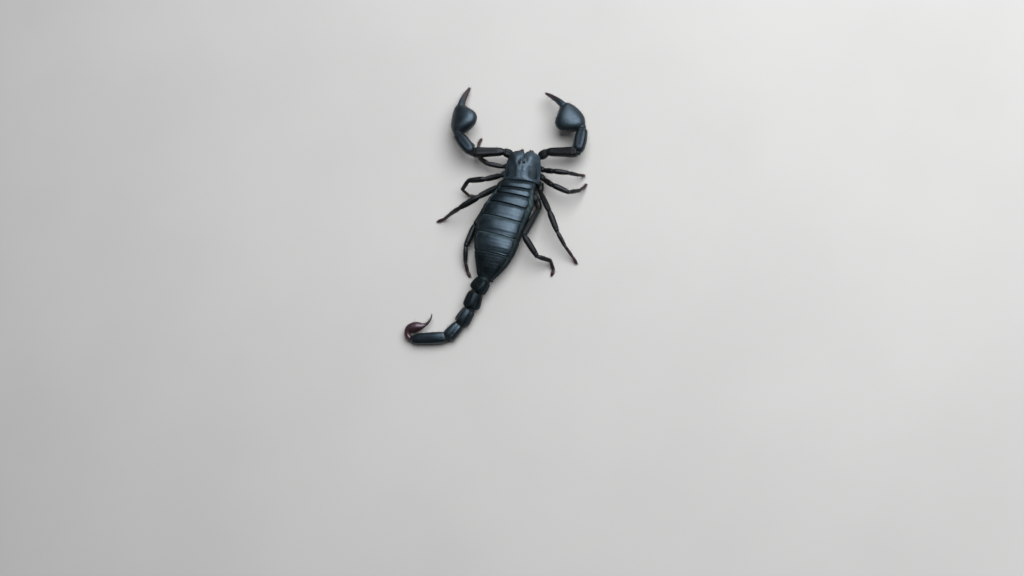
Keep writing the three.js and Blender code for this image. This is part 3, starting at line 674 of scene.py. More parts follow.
def shield_relief(x, y):
    """What is raised or sunk on the arched shield, in millimetres."""
    side = np.abs(x)
    front = y - EYES["ahead"]
    basin = step(np.hypot(side / 2.9, (y - 9.2) / 3.5), 1.25, 0.35)
    brows = hump(line_distance(side, y, (4.2, 12.4), (1.6, 5.4)), 1.35)
    stem = step(side, 3.2, 1.7) * step(y, 7.8, 4.6) * step(y, 0.2, 2.4)
    hollows = hump(line_distance(side, y, (4.2, 6.4), (4.9, 3.0)), 1.35)
    hollows += 0.8 * hump(line_distance(side, y, (5.2, 3.6), (7.9, 2.9)), 1.3)
    rear_furrow = hump(line_distance(side, y, (2.4, 2.5), (6.4, 1.7)), 0.65)
    flanks = step(side, 4.3, 6.9) * step(y, 12.0, 9.0) * step(y, 0.3, 2.0)
    front_furrow = hump(side, 0.55) * step(y, 10.2, 12.4)
    lobes = hump(side - 3.5, 2.1) * hump(y - 12.8, 2.0)
    wrinkles = np.sin(2.1 * x + 1.7 * np.sin(1.3 * y)) * np.sin(2.6 * y + 1.1 * np.sin(1.9 * x))
    rear_rim = 0.14 * hump(y - 0.9, 0.8) - 0.2 * step(y, 0.3, 0.0)
    mound = 0.88 * hump(side, 1.45) * hump(front, 2.2) - 0.26 * hump(side, 0.36) * hump(front, 1.5)
    socket = hump(np.hypot(side - EYES["spread"], front) - 0.86, 0.2) * hump(front, 1.2)
    raised = 0.2 * brows + 0.2 * stem + 0.42 * lobes + rear_rim + mound + 0.06 * socket + 0.025 * wrinkles
    sunk = 0.42 * basin + 0.42 * hollows + 0.45 * flanks + 0.08 * rear_furrow + 0.3 * front_furrow
    return raised - sunk


def shield_top(x, y):
    across = np.clip(np.abs(x) / along(SHIELD["half_width"], y), 0, 1)
    rim = along(SHIELD["rim"], y)
    return rim + (along(SHIELD["crest"], y) - rim) * (1 - across ** SHIELD["arch_power"])


def make_head_shield(sizes, material):
    """The head shield: an arched plate with furrows, an eye mound and a notched front."""
    shield = sheet("head_shield", 150, 120)
    thickness = sizes.plate_thickness / MM
    relief = {}

    def place(p):
        across, depth = p[:, 0], -p[:, 2]
        y = (p[:, 1] + 1) / 2 * shield_front(across)
        x = across * along(SHIELD["half_width"], y)
        relief["raised"] = shield_relief(x, y)
        edge = np.abs(across) ** 12
        top = shield_top(x, y) + relief["raised"] * (1 - edge)
        inward = 1 - 0.02 * depth * edge
        return np.column_stack([x * inward, y, top - depth * (thickness + 0.7 * edge)])

    reshape(shield, place)
    # Sunk places such as the basin, hollows and flanks get a low mark, which the material darkens with
    # painted shade.
    mark(shield, "raised", np.clip(LEVEL + 0.9 * relief["raised"], 0, 1))
    mark(shield, "tip", 0)

    def grainy(p):
        side, ahead, above = np.abs(p[:, 0]), p[:, 1], p[:, 2]
        outer = step(side + 0.5 * np.sin(ahead * 1.7), 2.6, 6.0) * 0.9 + 0.12
        lobes = hump(side - 3.9, 1.7) * hump(ahead - 12.8, 1.6)
        return outer * step(above, 7.4, 8.4) * (1 - 0.8 * lobes)

    granulate(shield, 0.36, 0.13, grainy)
    round_edges(shield, 0.09, 55)
    hand_over(place_in(shield, HEAD), material, ["carapace"])


def sphere(name, segments, rings, radius, middle):
    ball = add(name, "uv_sphere", segments=segments, ring_count=rings, radius=radius, location=middle)
    return in_order(ball)


def make_eyes(lens):
    """The pair of big eyes on the mound and the three small ones at each front corner."""
    ball = EYES["ball"]
    for side, sign in SIDES.items():
        middle = Vector((sign * (EYES["spread"] - 0.06), EYES["ahead"], EYES["height"] + 0.02))
        eye = sphere(f"eye_{side}", 48, 32, ball, middle)
        away = np.array(Vector((sign, 0.1, 0.7)).normalized())
        emboss(eye, lambda p, m=np.array(middle), away=away: 0.05 * step((p - m) @ away, 0.2, ball))
        mark(eye, "rim", step((read(eye.data, "co") - np.array(middle)) @ away, 0.42, 0.05))
        hand_over(place_in(eye, HEAD), lens, [f"median_eye_{side}"], ALL_SMOOTH)
    small = []
    for sign in SIDES.values():
        for ahead, out, size in SMALL_EYES:
            height = float(shield_top(np.array([out]), np.array([ahead]))[0]) + 0.03
            small.append(sphere("small_eye", 24, 16, size, (sign * out, ahead, height)))
    eyes = join(small, "small_eyes")
    mark(eyes, "rim", 0)
    hand_over(place_in(eyes, HEAD), lens, (), ALL_SMOOTH)


def finger_rings(long, root, bend, fall, steps=12, tip=0.16):
    """Rings of a small curved finger along +Y that bends to -X and drops as it narrows."""
    rings = []
    for i in range(steps + 1):
        share = i / steps
        size = root * (1 - share) ** 0.62 + tip * share
        rings.append(((-bend * share**1.7, long * share, -fall * share**1.6), size, size, 0))
    return rings


MOUTH_SPREAD = 2.5
MOUTH_BASE = (  # distance ahead, half width, half height and height over the floor
    (11.6, 1.2, 1.1, 6.3), (12.6, 1.55, 1.4, 6.35), (14.4, 1.85, 1.65, 6.5), (15.6, 1.8, 1.62, 6.5),
    (16.3, 1.45, 1.35, 6.35), (16.55, 1.0, 0.95, 6.25),
)
MOUTH_FINGERS = (  # name, root, length, thickness at the root, bend and drop
    ("fixed", (-0.55, 16.1, 6.5), 1.7, 0.72, 0.25, 0.75),
    ("moving", (0.75, 15.9, 6.1), 1.9, 0.78, 0.75, 0.55),
)


def make_mouthparts(material):
    """The two mouth pincers under the front margin: a stout base, two fingers and a row of teeth."""
    rings = []
    for y in eased(MOUTH_BASE[0][0], MOUTH_BASE[-1][0], 16):
        width, tall, z = (float(along(column(MOUTH_BASE, k), y)) for k in (1, 2, 3))
        rings.append(((0, y, z), width, tall, 0))
    base = draw_out("mouth_base", rings, 40, 2.4)
    mark(base, "tip", 0.25)
    emboss(base, lambda p: 0.05 * hump(p[:, 0] - 0.6, 0.4) - 0.12 * hump(p[:, 1] - 15.9, 0.2))
    parts = [base]
    for name, at, long, root, bend, fall in MOUTH_FINGERS:
        made = draw_out(f"mouth_{name}", finger_rings(long, root, bend, fall), 24)
        place_in(made, Matrix.Translation(at))
        mark(made, "raised", LEVEL)
        mark(made, "tip", step(read(made.data, "co")[:, 1], at[1], at[1] + long))
        parts.append(made)
    for i in range(3):
        tooth = add(
            "mouth_tooth", "cone", vertices=10, radius1=0.2, radius2=0.03, depth=0.42,
            location=(-0.2 + 0.1 * i, 16.6 + 0.38 * i, 5.95 - 0.18 * i),
            rotation=(math.radians(200), 0.3, 0),
        )
        mark(tooth, "tip", 1)
        parts.append(tooth)
    pincer = join(parts, "mouthpart_master")
    for side, sign in SIDES.items():
        where = HEAD @ Matrix.Translation((sign * MOUTH_SPREAD, 0, 0))
        piece = place_in(copy_of(pincer, f"mouthpart_{side}"), where, sign < 0)
        hand_over(piece, material, [f"chelicera_{side}"], ALL_SMOOTH)
    drop(pincer)


# ---- Trunk ----


def trunk_points(angle, behind, depth):
    """Points of the trunk: degrees round from the middle of the back, distance behind the shield, depth."""
    turn = np.radians(angle)
    sin, cos = np.sin(turn), np.cos(turn)
    waist = along(BODY["waist"], behind)
    tall = np.where(cos > 0, along(BODY["top"], behind) - waist, waist - along(BODY["bottom"], behind))
    back, belly = BODY["swell"]
    wide = np.where(cos > 0, back, belly)
    x = np.sign(sin) * np.abs(sin) ** wide * (along(BODY["half_width"], behind) - depth)
    z = waist + np.sign(cos) * np.abs(cos) ** back * (tall - depth)
    y = -behind + math.tan(HEAD_YAW) * x * step(-behind, -BODY["turn"], 0)
    return np.column_stack([x + along(BODY["middle"], behind), y, z])


def trunk_plate(name, middle, start, length, thickness, depth_at, overlap=0.5, spacing=0.17):
    """A plate wrapped over the trunk round its middle; depth_at(across, behind its front) shapes it."""
    lengthwise = max(12, round((length + overlap) / spacing))
    plate = sheet(name, 110, lengthwise)
    kept = {}

    def place(p):
        across, into = p[:, 0], -p[:, 2]
        at = mix(length - 0.05, -overlap, (p[:, 1] + 1) / 2)
        at = at - 0.15 * length * np.abs(across) ** 6 * step(at, length * 0.45, length)
        kept["depth"] = depth_at(across, at)
        angle = middle + (PLATE_ANGLE + 1.5 * step(at, 0, length)) * across * (1 if middle == BACK else -1)
        inward = into * thickness * (1 - 0.5 * np.abs(across) ** 8)
        return trunk_points(angle, start + at, kept["depth"] + inward)

    reshape(plate, place)
    # Painted shade: the deeper a plate's face lies, as at its tucked front, the lower its mark and the
    # darker its colour.
    mark(plate, "raised", np.clip(0.62 - 0.55 * kept["depth"], 0, 1))
    mark(plate, "tip", 0)
    return plate


def back_plate_depth(start, length, open_front):
    """How deep a back plate's face lies below the trunk's outer skin: tiles in front, pillows behind."""

    def depth(across, at):
        side = np.abs(across)
        ragged = 0.5 * np.sin(6 * across + start) * np.sin(15 * across + 2 * start)
        reach = 1.7 + 0.07 * length + 0.35 * ragged
        tuck = mix(0.8, 0.7, open_front) * (1 - step(at, -0.4, reach))
        swell = 0.26 * (1 - step(at, 0.1 * length, 0.62 * length))
        fall = mix(0.1, 0.34, open_front) * step(at, 0.6 * length, length)
        rim = -0.05 * hump(at - (length - 0.3), 0.26) * step(side, 0.9, 0.7)
        uneven = np.sin(5.3 * across + 1.7 * at + start) * np.sin(1.9 * at - 3.1 * across + 2 * start)
        wrinkles = 0.03 * np.sin(9 * at + 3 * np.sin(7 * across)) * step(side, 0.35, 0.9)
        scars = 0.07 * hump(side - 0.42, 0.08) * hump(at - 0.42 * length, 0.5 + 0.08 * length)
        edge = 0.4 * step(side, 0.86, 1.0) ** 2
        return np.maximum(tuck + swell + fall + rim + 0.035 * uneven + wrinkles + scars + edge, 0.0)

    return depth


def last_plate_depth(start, length):
    """The last back plate narrows to the tail, with two pairs of beaded keels."""
    plain = back_plate_depth(start, length, 1.0)

    def depth(across, at):
        beads = 0.5 + 0.5 * np.cos(2 * math.pi * at / 0.7)
        run = step(at, 0.35 * length, 0.5 * length) * step(at, length, 0.9 * length)
        ridges = hump(np.abs(across) - 0.26, 0.022) + hump(np.abs(across) - 0.58, 0.022)
        return plain(across, at) + 0.1 - 0.17 * ridges * beads * run

    return depth


FIRST_STRETCHED = 5  # from this back plate on, the skin shows between the plates
PLATE_OVERLAP = 0.5
PLATE_BEVEL = (0.07, 60)


def make_back_plates(sizes, plain_finish, rear_finish):
    """The seven plates of the back: the first ones overlap, and the swollen body parts the last ones."""
    start = TRUNK_START
    last = len(TERGITE_LENGTHS)
    thickness = sizes.plate_thickness / MM
    for i, length in enumerate(TERGITE_LENGTHS, 1):
        stretched = i >= FIRST_STRETCHED
        if i == last:
            depth_at = last_plate_depth(start, length)
        else:
            depth_at = back_plate_depth(start, length, float(stretched))
        overlap = -PLATE_OVERLAP if stretched else PLATE_OVERLAP
        plate = trunk_plate(f"back_plate_{i}", BACK, start, length, thickness, depth_at, overlap)
        rear = start + length

        def grainy(p, rear=rear, usual=0.6 if i == last else 0.16):
            behind = step(-p[:, 1], rear - 3.4, rear - 0.8) * 0.6
            outer = step(np.abs(p[:, 0] + 2), 4.5, 9) * 0.75
            return np.clip(behind + outer + usual, 0, 1)

        granulate(plate, 0.34, 0.14 if i == last else 0.09, grainy)
        round_edges(plate, *PLATE_BEVEL)
        material = rear_finish if i == last else plain_finish
        hand_over(place_in(plate, TRUNK), material, [f"tergite_{i}"])
        start = rear


def belly_plate_depth(length, keeled):
    """A belly plate's face: smooth, with a slit for each book lung, or keels on the last one."""

    def depth(across, at):
        side = np.abs(across)
        rim = -0.06 * hump(at - (length - 0.2), 0.22) + 0.08 * hump(at - (length - 0.7), 0.3)
        tuck = 0.5 * (1 - step(at, -0.4, 1.2)) + 0.25 * step(at, 0.6 * length, length)
        face = tuck + rim + 0.2 * step(side, 0.93, 1.0)
        if keeled:
            run = step(at, 0.3 * length, 0.5 * length) * step(at, length, 0.88 * length)
            return face - 0.16 * run * (hump(side - 0.2, 0.04) + hump(side - 0.5, 0.04))
        slit = hump(side - 0.62 - 0.1 * (at / length - 0.6), 0.045) * hump(at - 0.62 * length, 0.16)
        lip = hump(side - 0.62, 0.08) * hump(at - 0.62 * length, 0.55)
        return face + 0.42 * slit - 0.1 * lip

    return depth


def make_belly_plates(sizes, material):
    """The belly's five plates, numbered from its third segment. The last has keels and no lung slits."""
    start = TRUNK_END - sum(STERNITE_LENGTHS)
    thickness = sizes.plate_thickness / MM
    for i, length in enumerate(STERNITE_LENGTHS, 3):
        depth_at = belly_plate_depth(length, i == 7)
        plate = trunk_plate(f"belly_plate_{i}", BELLY, start, length, thickness, depth_at, 0.4, 0.2)
        round_edges(plate, *PLATE_BEVEL)
        hand_over(place_in(plate, TRUNK), material, [f"sternite_{i}"])
        start += length


SKIN_FRONT = -11.5  # behind the shield's rear edge, so it starts under the mouthparts
SKIN_SIDES = 144
SKIN_CUTS = 190
HEAD_SKIN = {"level": 8.0, "under_crest": 1.6, "inside": 1.0, "belly": 3.2}


def make_skin(material):
    """One folded skin under the plates, from the mouthparts to the tail, that bulges out between them."""
    front, rear = SKIN_FRONT, TRUNK_END + 0.9
    seams = np.cumsum((TRUNK_START, *TERGITE_LENGTHS))
    gaps = seams[FIRST_STRETCHED - 1:-1] + 0.28
    skin = add(
        "body_skin", "cylinder", vertices=SKIN_SIDES, radius=1, depth=2, end_fill_type="NGON",
        rotation=(math.pi / 2, 0, 0),
    )
    pick(skin)
    bpy.ops.object.mode_set(mode="EDIT")
    mesh = bmesh.from_edit_mesh(skin.data)
    for edge in mesh.edges:
        edge.select_set(abs(edge.verts[0].co.y - edge.verts[1].co.y) > 1)
    bmesh.update_edit_mesh(skin.data)
    bpy.ops.mesh.subdivide(number_cuts=SKIN_CUTS)
    bpy.ops.object.mode_set(mode="OBJECT")
    pale = {}

    def place(p):
        angle = np.degrees(np.arctan2(p[:, 0], p[:, 2]))
        behind = mix(front, rear, (1 - p[:, 1]) / 2)
        off = np.abs(np.abs(angle) - 90)
        flank = step(off, 34, 14)
        nearest_gap = np.min(np.abs(behind[:, None] - gaps), axis=1)
        gap = hump(nearest_gap, 0.32) * step(np.abs(angle), 64, 56)
        nearest_seam = np.min(np.abs(behind[:, None] - seams), axis=1)
        folds = 0.1 * np.sin(behind * 3.7 + 2.6 * np.sin(angle * 0.13 + behind * 0.5))
        creases = np.sin(angle * 0.55 + 2.2 * np.sin(behind * 1.1)) * np.sin(behind * 2.3 + angle * 0.09)
        folds = (folds + 0.06 * creases) * flank + 0.4 * hump(nearest_seam, 0.5) * flank
        wide = step(behind, 4, 8) * step(behind, 26, 18) * step(np.abs(angle), 64, 78)
        depth = mix(1.3, 0.25, flank) + folds - 0.5 * wide
        depth = mix(depth, 0.5, gap)
        body = trunk_points(angle, np.maximum(behind, 0), depth)
        ahead = step(-behind, 0.0, 2.0)
        y = -behind
        side = np.abs(np.sin(np.radians(angle))) ** 0.6 * np.sign(angle)
        tall = np.cos(np.radians(angle))
        x = side * (along(SHIELD["half_width"], y) - HEAD_SKIN["inside"])
        rise = along(SHIELD["crest"], y) - HEAD_SKIN["under_crest"] - HEAD_SKIN["level"]
        level = HEAD_SKIN["level"] + tall * np.where(tall > 0, rise, HEAD_SKIN["belly"])
        turned = np.array(TRUNK.inverted() @ HEAD)
        head = np.column_stack([x, y, level]) @ turned[:3, :3].T + turned[:3, 3]
        upper = step(np.abs(angle), 58, 66) * step(np.abs(angle), 96, 84)
        torn = 0.6 + 0.4 * np.sin(behind * 2.1 + 1.4 * np.sin(angle * 0.4))
        shoulder = upper * torn * step(behind, 1, 5) * step(behind, 17, 11)
        pale["pale"] = np.clip(0.8 * gap + 0.6 * shoulder, 0, 1)
        return body + (head - body) * ahead[:, None]

    reshape(skin, place)
    mark(skin, "pale", pale["pale"])
    hand_over(place_in(skin, TRUNK), material, ["pleura"], ALL_SMOOTH)


# ---- Limbs ----

# Each segment: its half width and height, and its (share of the length, width, height) stations.
LEG_SEGMENTS = {
    "trochanter": ((1.5, 1.5), (
        (-0.15, 0.35, 0.35), (0, 0.68, 0.68), (0.2, 0.9, 0.92), (0.6, 1, 1), (0.88, 0.9, 0.88),
        (1, 0.72, 0.72), (1.06, 0.45, 0.45),
    )),
    "femur": ((1.35, 1.75), (
        (-0.05, 0.3, 0.3), (0, 0.55, 0.5), (0.08, 0.75, 0.72), (0.3, 0.95, 0.95), (0.75, 1, 1),
        (0.93, 0.9, 0.88), (1, 0.74, 0.74), (1.02, 0.5, 0.5),
    )),
    "patella": ((1.4, 1.8), (
        (-0.06, 0.3, 0.35), (0, 0.6, 0.62), (0.1, 0.85, 0.88), (0.25, 1, 1), (0.7, 0.95, 0.93),
        (0.93, 0.8, 0.76), (1, 0.66, 0.64), (1.02, 0.45, 0.45),
    )),
    "tibia": ((1.1, 1.3), (
        (-0.06, 0.35, 0.35), (0, 0.62, 0.62), (0.1, 0.78, 0.8), (0.35, 0.95, 0.95), (0.7, 0.86, 0.86),
        (0.93, 0.82, 0.8), (1, 0.68, 0.66), (1.03, 0.45, 0.45),
    )),
    "metatarsus": ((0.85, 0.9), (
        (-0.08, 0.4, 0.4), (0, 0.7, 0.7), (0.12, 0.85, 0.85), (0.5, 0.88, 0.88), (0.85, 0.9, 0.88),
        (1, 0.7, 0.7), (1.04, 0.45, 0.45),
    )),
    "tarsus": ((0.75, 0.75), (
        (-0.08, 0.4, 0.4), (0, 0.72, 0.72), (0.15, 0.88, 0.86), (0.4, 1, 0.95), (0.62, 0.85, 0.8),
        (0.74, 0.5, 0.5), (0.78, 0.22, 0.22),
    )),
}
ARM_SEGMENTS = {
    "trochanter": ((2.1, 2.1), (
        (-0.12, 0.4, 0.4), (0, 0.66, 0.66), (0.12, 0.85, 0.85), (0.35, 1, 1), (0.75, 0.96, 0.96),
        (0.92, 0.84, 0.84), (1, 0.7, 0.7), (1.04, 0.45, 0.45),
    )),
    "femur": ((2.3, 2.4), (
        (-0.05, 0.35, 0.35), (0, 0.6, 0.6), (0.06, 0.75, 0.74), (0.15, 0.86, 0.85), (0.5, 0.95, 0.95),
        (0.82, 1.08, 1.06), (0.92, 1, 0.96), (0.98, 0.78, 0.76), (1.01, 0.5, 0.5),
    )),
    "patella": ((2.9, 2.8), (
        (-0.05, 0.35, 0.35), (0, 0.56, 0.56), (0.07, 0.78, 0.78), (0.2, 0.96, 0.96), (0.5, 1.06, 1.04),
        (0.8, 0.96, 0.94), (0.93, 0.84, 0.8), (1, 0.66, 0.62), (1.03, 0.4, 0.4),
    )),
}
CLAW_BASE = ((1.75, 1.5), (
    (-1.3, 0.3, 0.3), (-1.1, 0.6, 0.7), (-0.5, 0.85, 0.95), (0.1, 0.9, 0.95), (0.6, 1, 1),
    (0.9, 0.9, 0.9), (1, 0.75, 0.75), (1.05, 0.45, 0.45),
))
HAND_ROLL = {"right": 7, "left": 22}  # degrees that each hand's back leans outwards
HAND_VOXEL = 0.17
# The hand: distance from the wrist, inward shift, half width and half thickness.
HAND = [
    (-0.9, -0.3, 0.9, 0.9), (-0.3, -0.3, 1.5, 1.4), (0.5, -0.1, 2.1, 1.9), (1.4, 0.5, 3.1, 2.6),
    (2.8, 1.2, 4.7, 3.5), (5.2, 2.1, 6.5, 4.1), (8.2, 2.5, 7.0, 4.25), (11, 2.2, 6.3, 3.95),
    (13.4, 1.2, 4.3, 3.2), (15.4, 0.5, 2.4, 2.1), (16.6, 0.5, 1.0, 1.1),
]
FINGER = {"start": 15.4, "length": 12.6, "curl": 2.6, "drop": 4.8, "inward": 0.5}
FIXED_FINGER = (1.1, [
    (-0.12, 1.2, 1.0), (0, 1.6, 1.35), (0.15, 1.5, 1.3), (0.4, 1.15, 1.05), (0.7, 0.85, 0.8),
    (0.9, 0.6, 0.55), (0.97, 0.42, 0.4), (1, 0.2, 0.2),
])
MOVING_FINGER = (-1.3, [
    (-0.06, 0.55, 0.55), (0, 0.95, 0.9), (0.12, 1.35, 1.1), (0.4, 1.15, 0.95), (0.7, 0.85, 0.75),
    (0.9, 0.6, 0.55), (0.97, 0.42, 0.4), (1, 0.2, 0.2),
])


def limb_angle(points, half):
    """Degrees round a limb from its upper side, seen along it."""
    return np.degrees(np.arctan2(points[:, 0] / half[0], points[:, 2] / half[1]))


def turn_between(start, end):
    """Degrees from one direction to another, from -180 to 180."""
    return (end - start + 180) % 360 - 180


def keels(points, half, angles, height, run, wide, pitch):
    """Beaded ridges along a limb at the given angles round it, between two distances along it."""
    angle = limb_angle(points, half)
    beads = 0.62 + 0.38 * np.cos(2 * math.pi * points[:, 1] / pitch)
    ends = step(points[:, 1], run[0], run[0] + 0.9) * step(points[:, 1], run[1], run[1] - 0.9)
    ridges = sum(hump(turn_between(a, angle), wide) for a in angles)
    return height * beads * ends * ridges


def segment(name, length, half, stations, sides=28, power=2.4, steps=24):
    """One segment of a limb, drawn out along +Y through its stations, with its ends rounded to nest."""
    rings = []
    for share in eased(stations[0][0], stations[-1][0], steps):
        width, tall = (float(along(column(stations, k), share)) for k in (1, 2))
        rings.append(((0, share * length, 0), half[0] * width, half[1] * tall, 0))
    return draw_out(name, rings, sides, power)


def spine(at, toward, length, radius):
    """A short stiff spine, bent a little towards its point."""
    rings = [
        ((0, length * s, -0.12 * length * s * s), radius * w, radius * w, 0)
        for s, w in ((-0.25, 0.9), (0.0, 1.0), (0.35, 0.75), (0.7, 0.42), (1.0, 0.08))
    ]
    made = draw_out("spine", rings, 7)
    turn = Vector(toward).to_track_quat("Y", "Z").to_matrix().to_4x4()
    mark(made, "raised", LEVEL)
    mark(made, "tip", 1.0)
    return place_in(made, Matrix.Translation(at) @ turn)


LEG_KEELS = {"femur": (30, -30, 145, -145), "patella": (90, -90, 25, -25)}
# How far each segment of a leg has the colour of the tip, at its root and at its end.
LEG_TIPS = ((0.0, 0.02), (0.02, 0.03), (0.03, 0.06), (0.08, 0.25), (0.35, 0.65), (0.75, 1.0))


def foot_spines(name, length, half):
    """The spines and claws on one segment of a leg."""
    spines = []
    if name in ("metatarsus", "tarsus"):
        gap = 0.13 if name == "tarsus" else 0.2
        for row in (-1, 1):
            for i in range(4):
                at = (row * 0.34 * half[0] * 1.2, length * (0.2 + gap * i), -0.78 * half[1])
                spines.append(spine(at, (0.35 * row, 0.85, -0.55), 0.62, 0.1))
    if name == "tibia":
        spines.append(spine((0.5, 0.92 * length, -0.9), (0.2, 1, -0.5), 0.7, 0.12))
    if name == "tarsus":
        for side in (-1, 1):
            claw = draw_out("claw", finger_rings(1.2, 0.2, 0.4 * side, 0.45, 9, 0.03), 10)
            mark(claw, "raised", 0.45)
            mark(claw, "tip", 1.0)
            spines.append(place_in(claw, Matrix.Translation((-0.18 * side, 0.7 * length, 0.1))))
        spines.append(spine((0, 0.74 * length, -0.1), (0, 1, -0.3), 0.5, 0.13))
    return spines


def leg_masters():
    """The six segments of a leg in their own frames, as long as on the third pair."""
    masters = []
    for (name, (half, stations)), length, tip in zip(LEG_SEGMENTS.items(), LEG_BONES[2], LEG_TIPS):
        made = segment(f"leg_{name}", length, half, stations)
        refine(made)

        def height(p, half=half, length=length, ridges=LEG_KEELS.get(name, ()), name=name):
            collar = 0.07 * hump(p[:, 1] - 0.95 * length, 0.16) - 0.1 * hump(p[:, 1] - 0.88 * length, 0.2)
            sunk = -0.1 * hump(limb_angle(p, half), 16) * step(p[:, 1], 1, 3) if name == "femur" else 0
            return keels(p, half, ridges, 0.09, (0.1 * length, 0.9 * length), 8, 1.0) + collar + sunk

        emboss(made, height)
        mark(made, "tip", mix(tip[0], tip[1], np.clip(read(made.data, "co")[:, 1] / length, 0, 1)))
        spines = foot_spines(name, length, half)
        masters.append(join([made, *spines], f"leg_{name}") if spines else made)
    return masters


def make_legs(upper_finish, lower_finish):
    """The eight legs, each an upper piece of three segments and a lower one with the foot."""
    masters = leg_masters()
    for name in LEG_POSES:
        pair = int(name[-1]) - 1
        flipped = SIDES[name[:-2]] < 0
        parts = []
        for master, at, length, full in zip(masters, leg_frames(name), LEG_BONES[pair], LEG_BONES[2]):
            size = Matrix.Diagonal((LEG_WIDTHS[pair], length / full, LEG_WIDTHS[pair], 1))
            parts.append(place_in(copy_of(master, f"{master.name}_{name}"), at @ size, flipped))
        upper = join(parts[:3], f"leg_{name}_upper_shell")
        lower = join(parts[3:], f"leg_{name}_lower_shell")
        hand_over(upper, upper_finish, [f"leg_{name}_upper"], ALL_SMOOTH)
        hand_over(lower, lower_finish, [f"leg_{name}_lower"], ALL_SMOOTH)
    for master in masters:
        drop(master)


def between(start, end, up=(0, 0, 1)):
    """A frame at start with +Y towards end."""
    ahead = (Vector(end) - Vector(start)).normalized()
    side = ahead.cross(Vector(up)).normalized()
    turned = Matrix((side, ahead, side.cross(ahead))).transposed().to_4x4()
    return Matrix.Translation(start) @ turned


LEG_BASE_FORM = (
    (-0.02, 0.5, 0.4), (0.03, 0.8, 0.72), (0.25, 0.98, 0.95), (0.7, 1, 1), (0.92, 0.9, 0.9),
    (1, 0.72, 0.72), (1.04, 0.4, 0.4),
)
LEG_BASES = (  # for each pair: the inner end, the height of the outer end and the half width
    ((0.9, 9.2, 4.6), 4.7, 1.98), ((1.0, 5.3, 4.5), 4.7, 1.98), ((2.3, 1.6, 4.0), 4.7, 1.98),
    ((2.2, -2.6, 3.9), 4.3, 2.15),
)
LEG_BASE_HEIGHT = 1.75


def make_leg_bases(material):
    """The fixed bases of the legs, four tapered plates a side that meet along furrows under the body."""
    for side, sign in SIDES.items():
        parts = []
        for pair, (start, level, wide) in enumerate(LEG_BASES, 1):
            hip = LEG_POSES[f"{side}_{pair}"][0]
            end = (hip[0] - 0.4, hip[1], level)
            length = (Vector(end) - Vector(start)).length
            half = (wide, LEG_BASE_HEIGHT)
            base = segment(f"leg_base_{pair}", length, half, LEG_BASE_FORM, 28, 2.6, 18)
            refine(base)

            def height(p, half=half, length=length):
                ridges = keels(p, half, (120, -120), 0.1, (0.4, length - 0.6), 9, 0.5)
                return ridges - 0.12 * hump(p[:, 1] - 0.86 * length, 0.22)

            emboss(base, height)
            mark(base, "tip", 0.08)
            parts.append(place_in(base, between(start, end)))
        block = place_in(join(parts, f"leg_bases_{side}_shell"), HEAD, sign < 0)
        hand_over(block, material, [f"leg_bases_{side}"], ALL_SMOOTH)


def belly_shield(name, rear, front, outline, high):
    """A small flat plate of the underside, outlined by (share of its length, half width) stations."""
    plate = add(name, "grid", x_subdivisions=28, y_subdivisions=28, size=2)
    modify(plate, "SOLIDIFY", thickness=1.1, offset=-1)

    def place(p):
        share = (p[:, 1] + 1) / 2
        x = p[:, 0] * along(outline, share)
        bulge = 0.35 * (1 - np.abs(p[:, 0]) ** 3) * (1 - (2 * share - 1) ** 4)
        groove = 0.22 * hump(p[:, 0], 0.12) * step(share, 0.15, 0.4) * step(share, 0.95, 0.6)
        z = high - bulge + groove - p[:, 2] * (1 - 0.3 * np.abs(p[:, 0]) ** 6)
        return np.column_stack([-x, mix(rear, front, share), z])

    reshape(plate, place)
    round_edges(plate, 0.12, 50)
    mark(plate, "raised", LEVEL)
    mark(plate, "tip", 0.1)
    return plate


BELLY_SHIELDS = {  # rear and front edge, and the outline between them
    "sternum": (-1.4, 2.4, ((0, 1.25), (0.25, 1.5), (0.6, 1.3), (0.85, 0.75), (1, 0.3))),
    "genital_operculum": (-4.8, -1.8, ((0, 0.7), (0.2, 1.25), (0.5, 1.5), (0.8, 1.3), (1, 0.8))),
}
BELLY_SHIELD_HEIGHT = 2.45
COMB_BARS = (  # inner end, outer end, half width and half height
    ((1.0, -6.5, 2.45), (6.2, -7.5, 2.5), (0.36, 0.36)),
    ((1.2, -7.0, 2.42), (5.8, -7.95, 2.45), (0.3, 0.3)),
)
COMB_BAR_FORM = ((0, 0.5, 0.5), (0.05, 1, 1), (0.5, 0.85, 0.9), (0.95, 0.6, 0.7), (1, 0.3, 0.3))
COMB_TEETH = 15


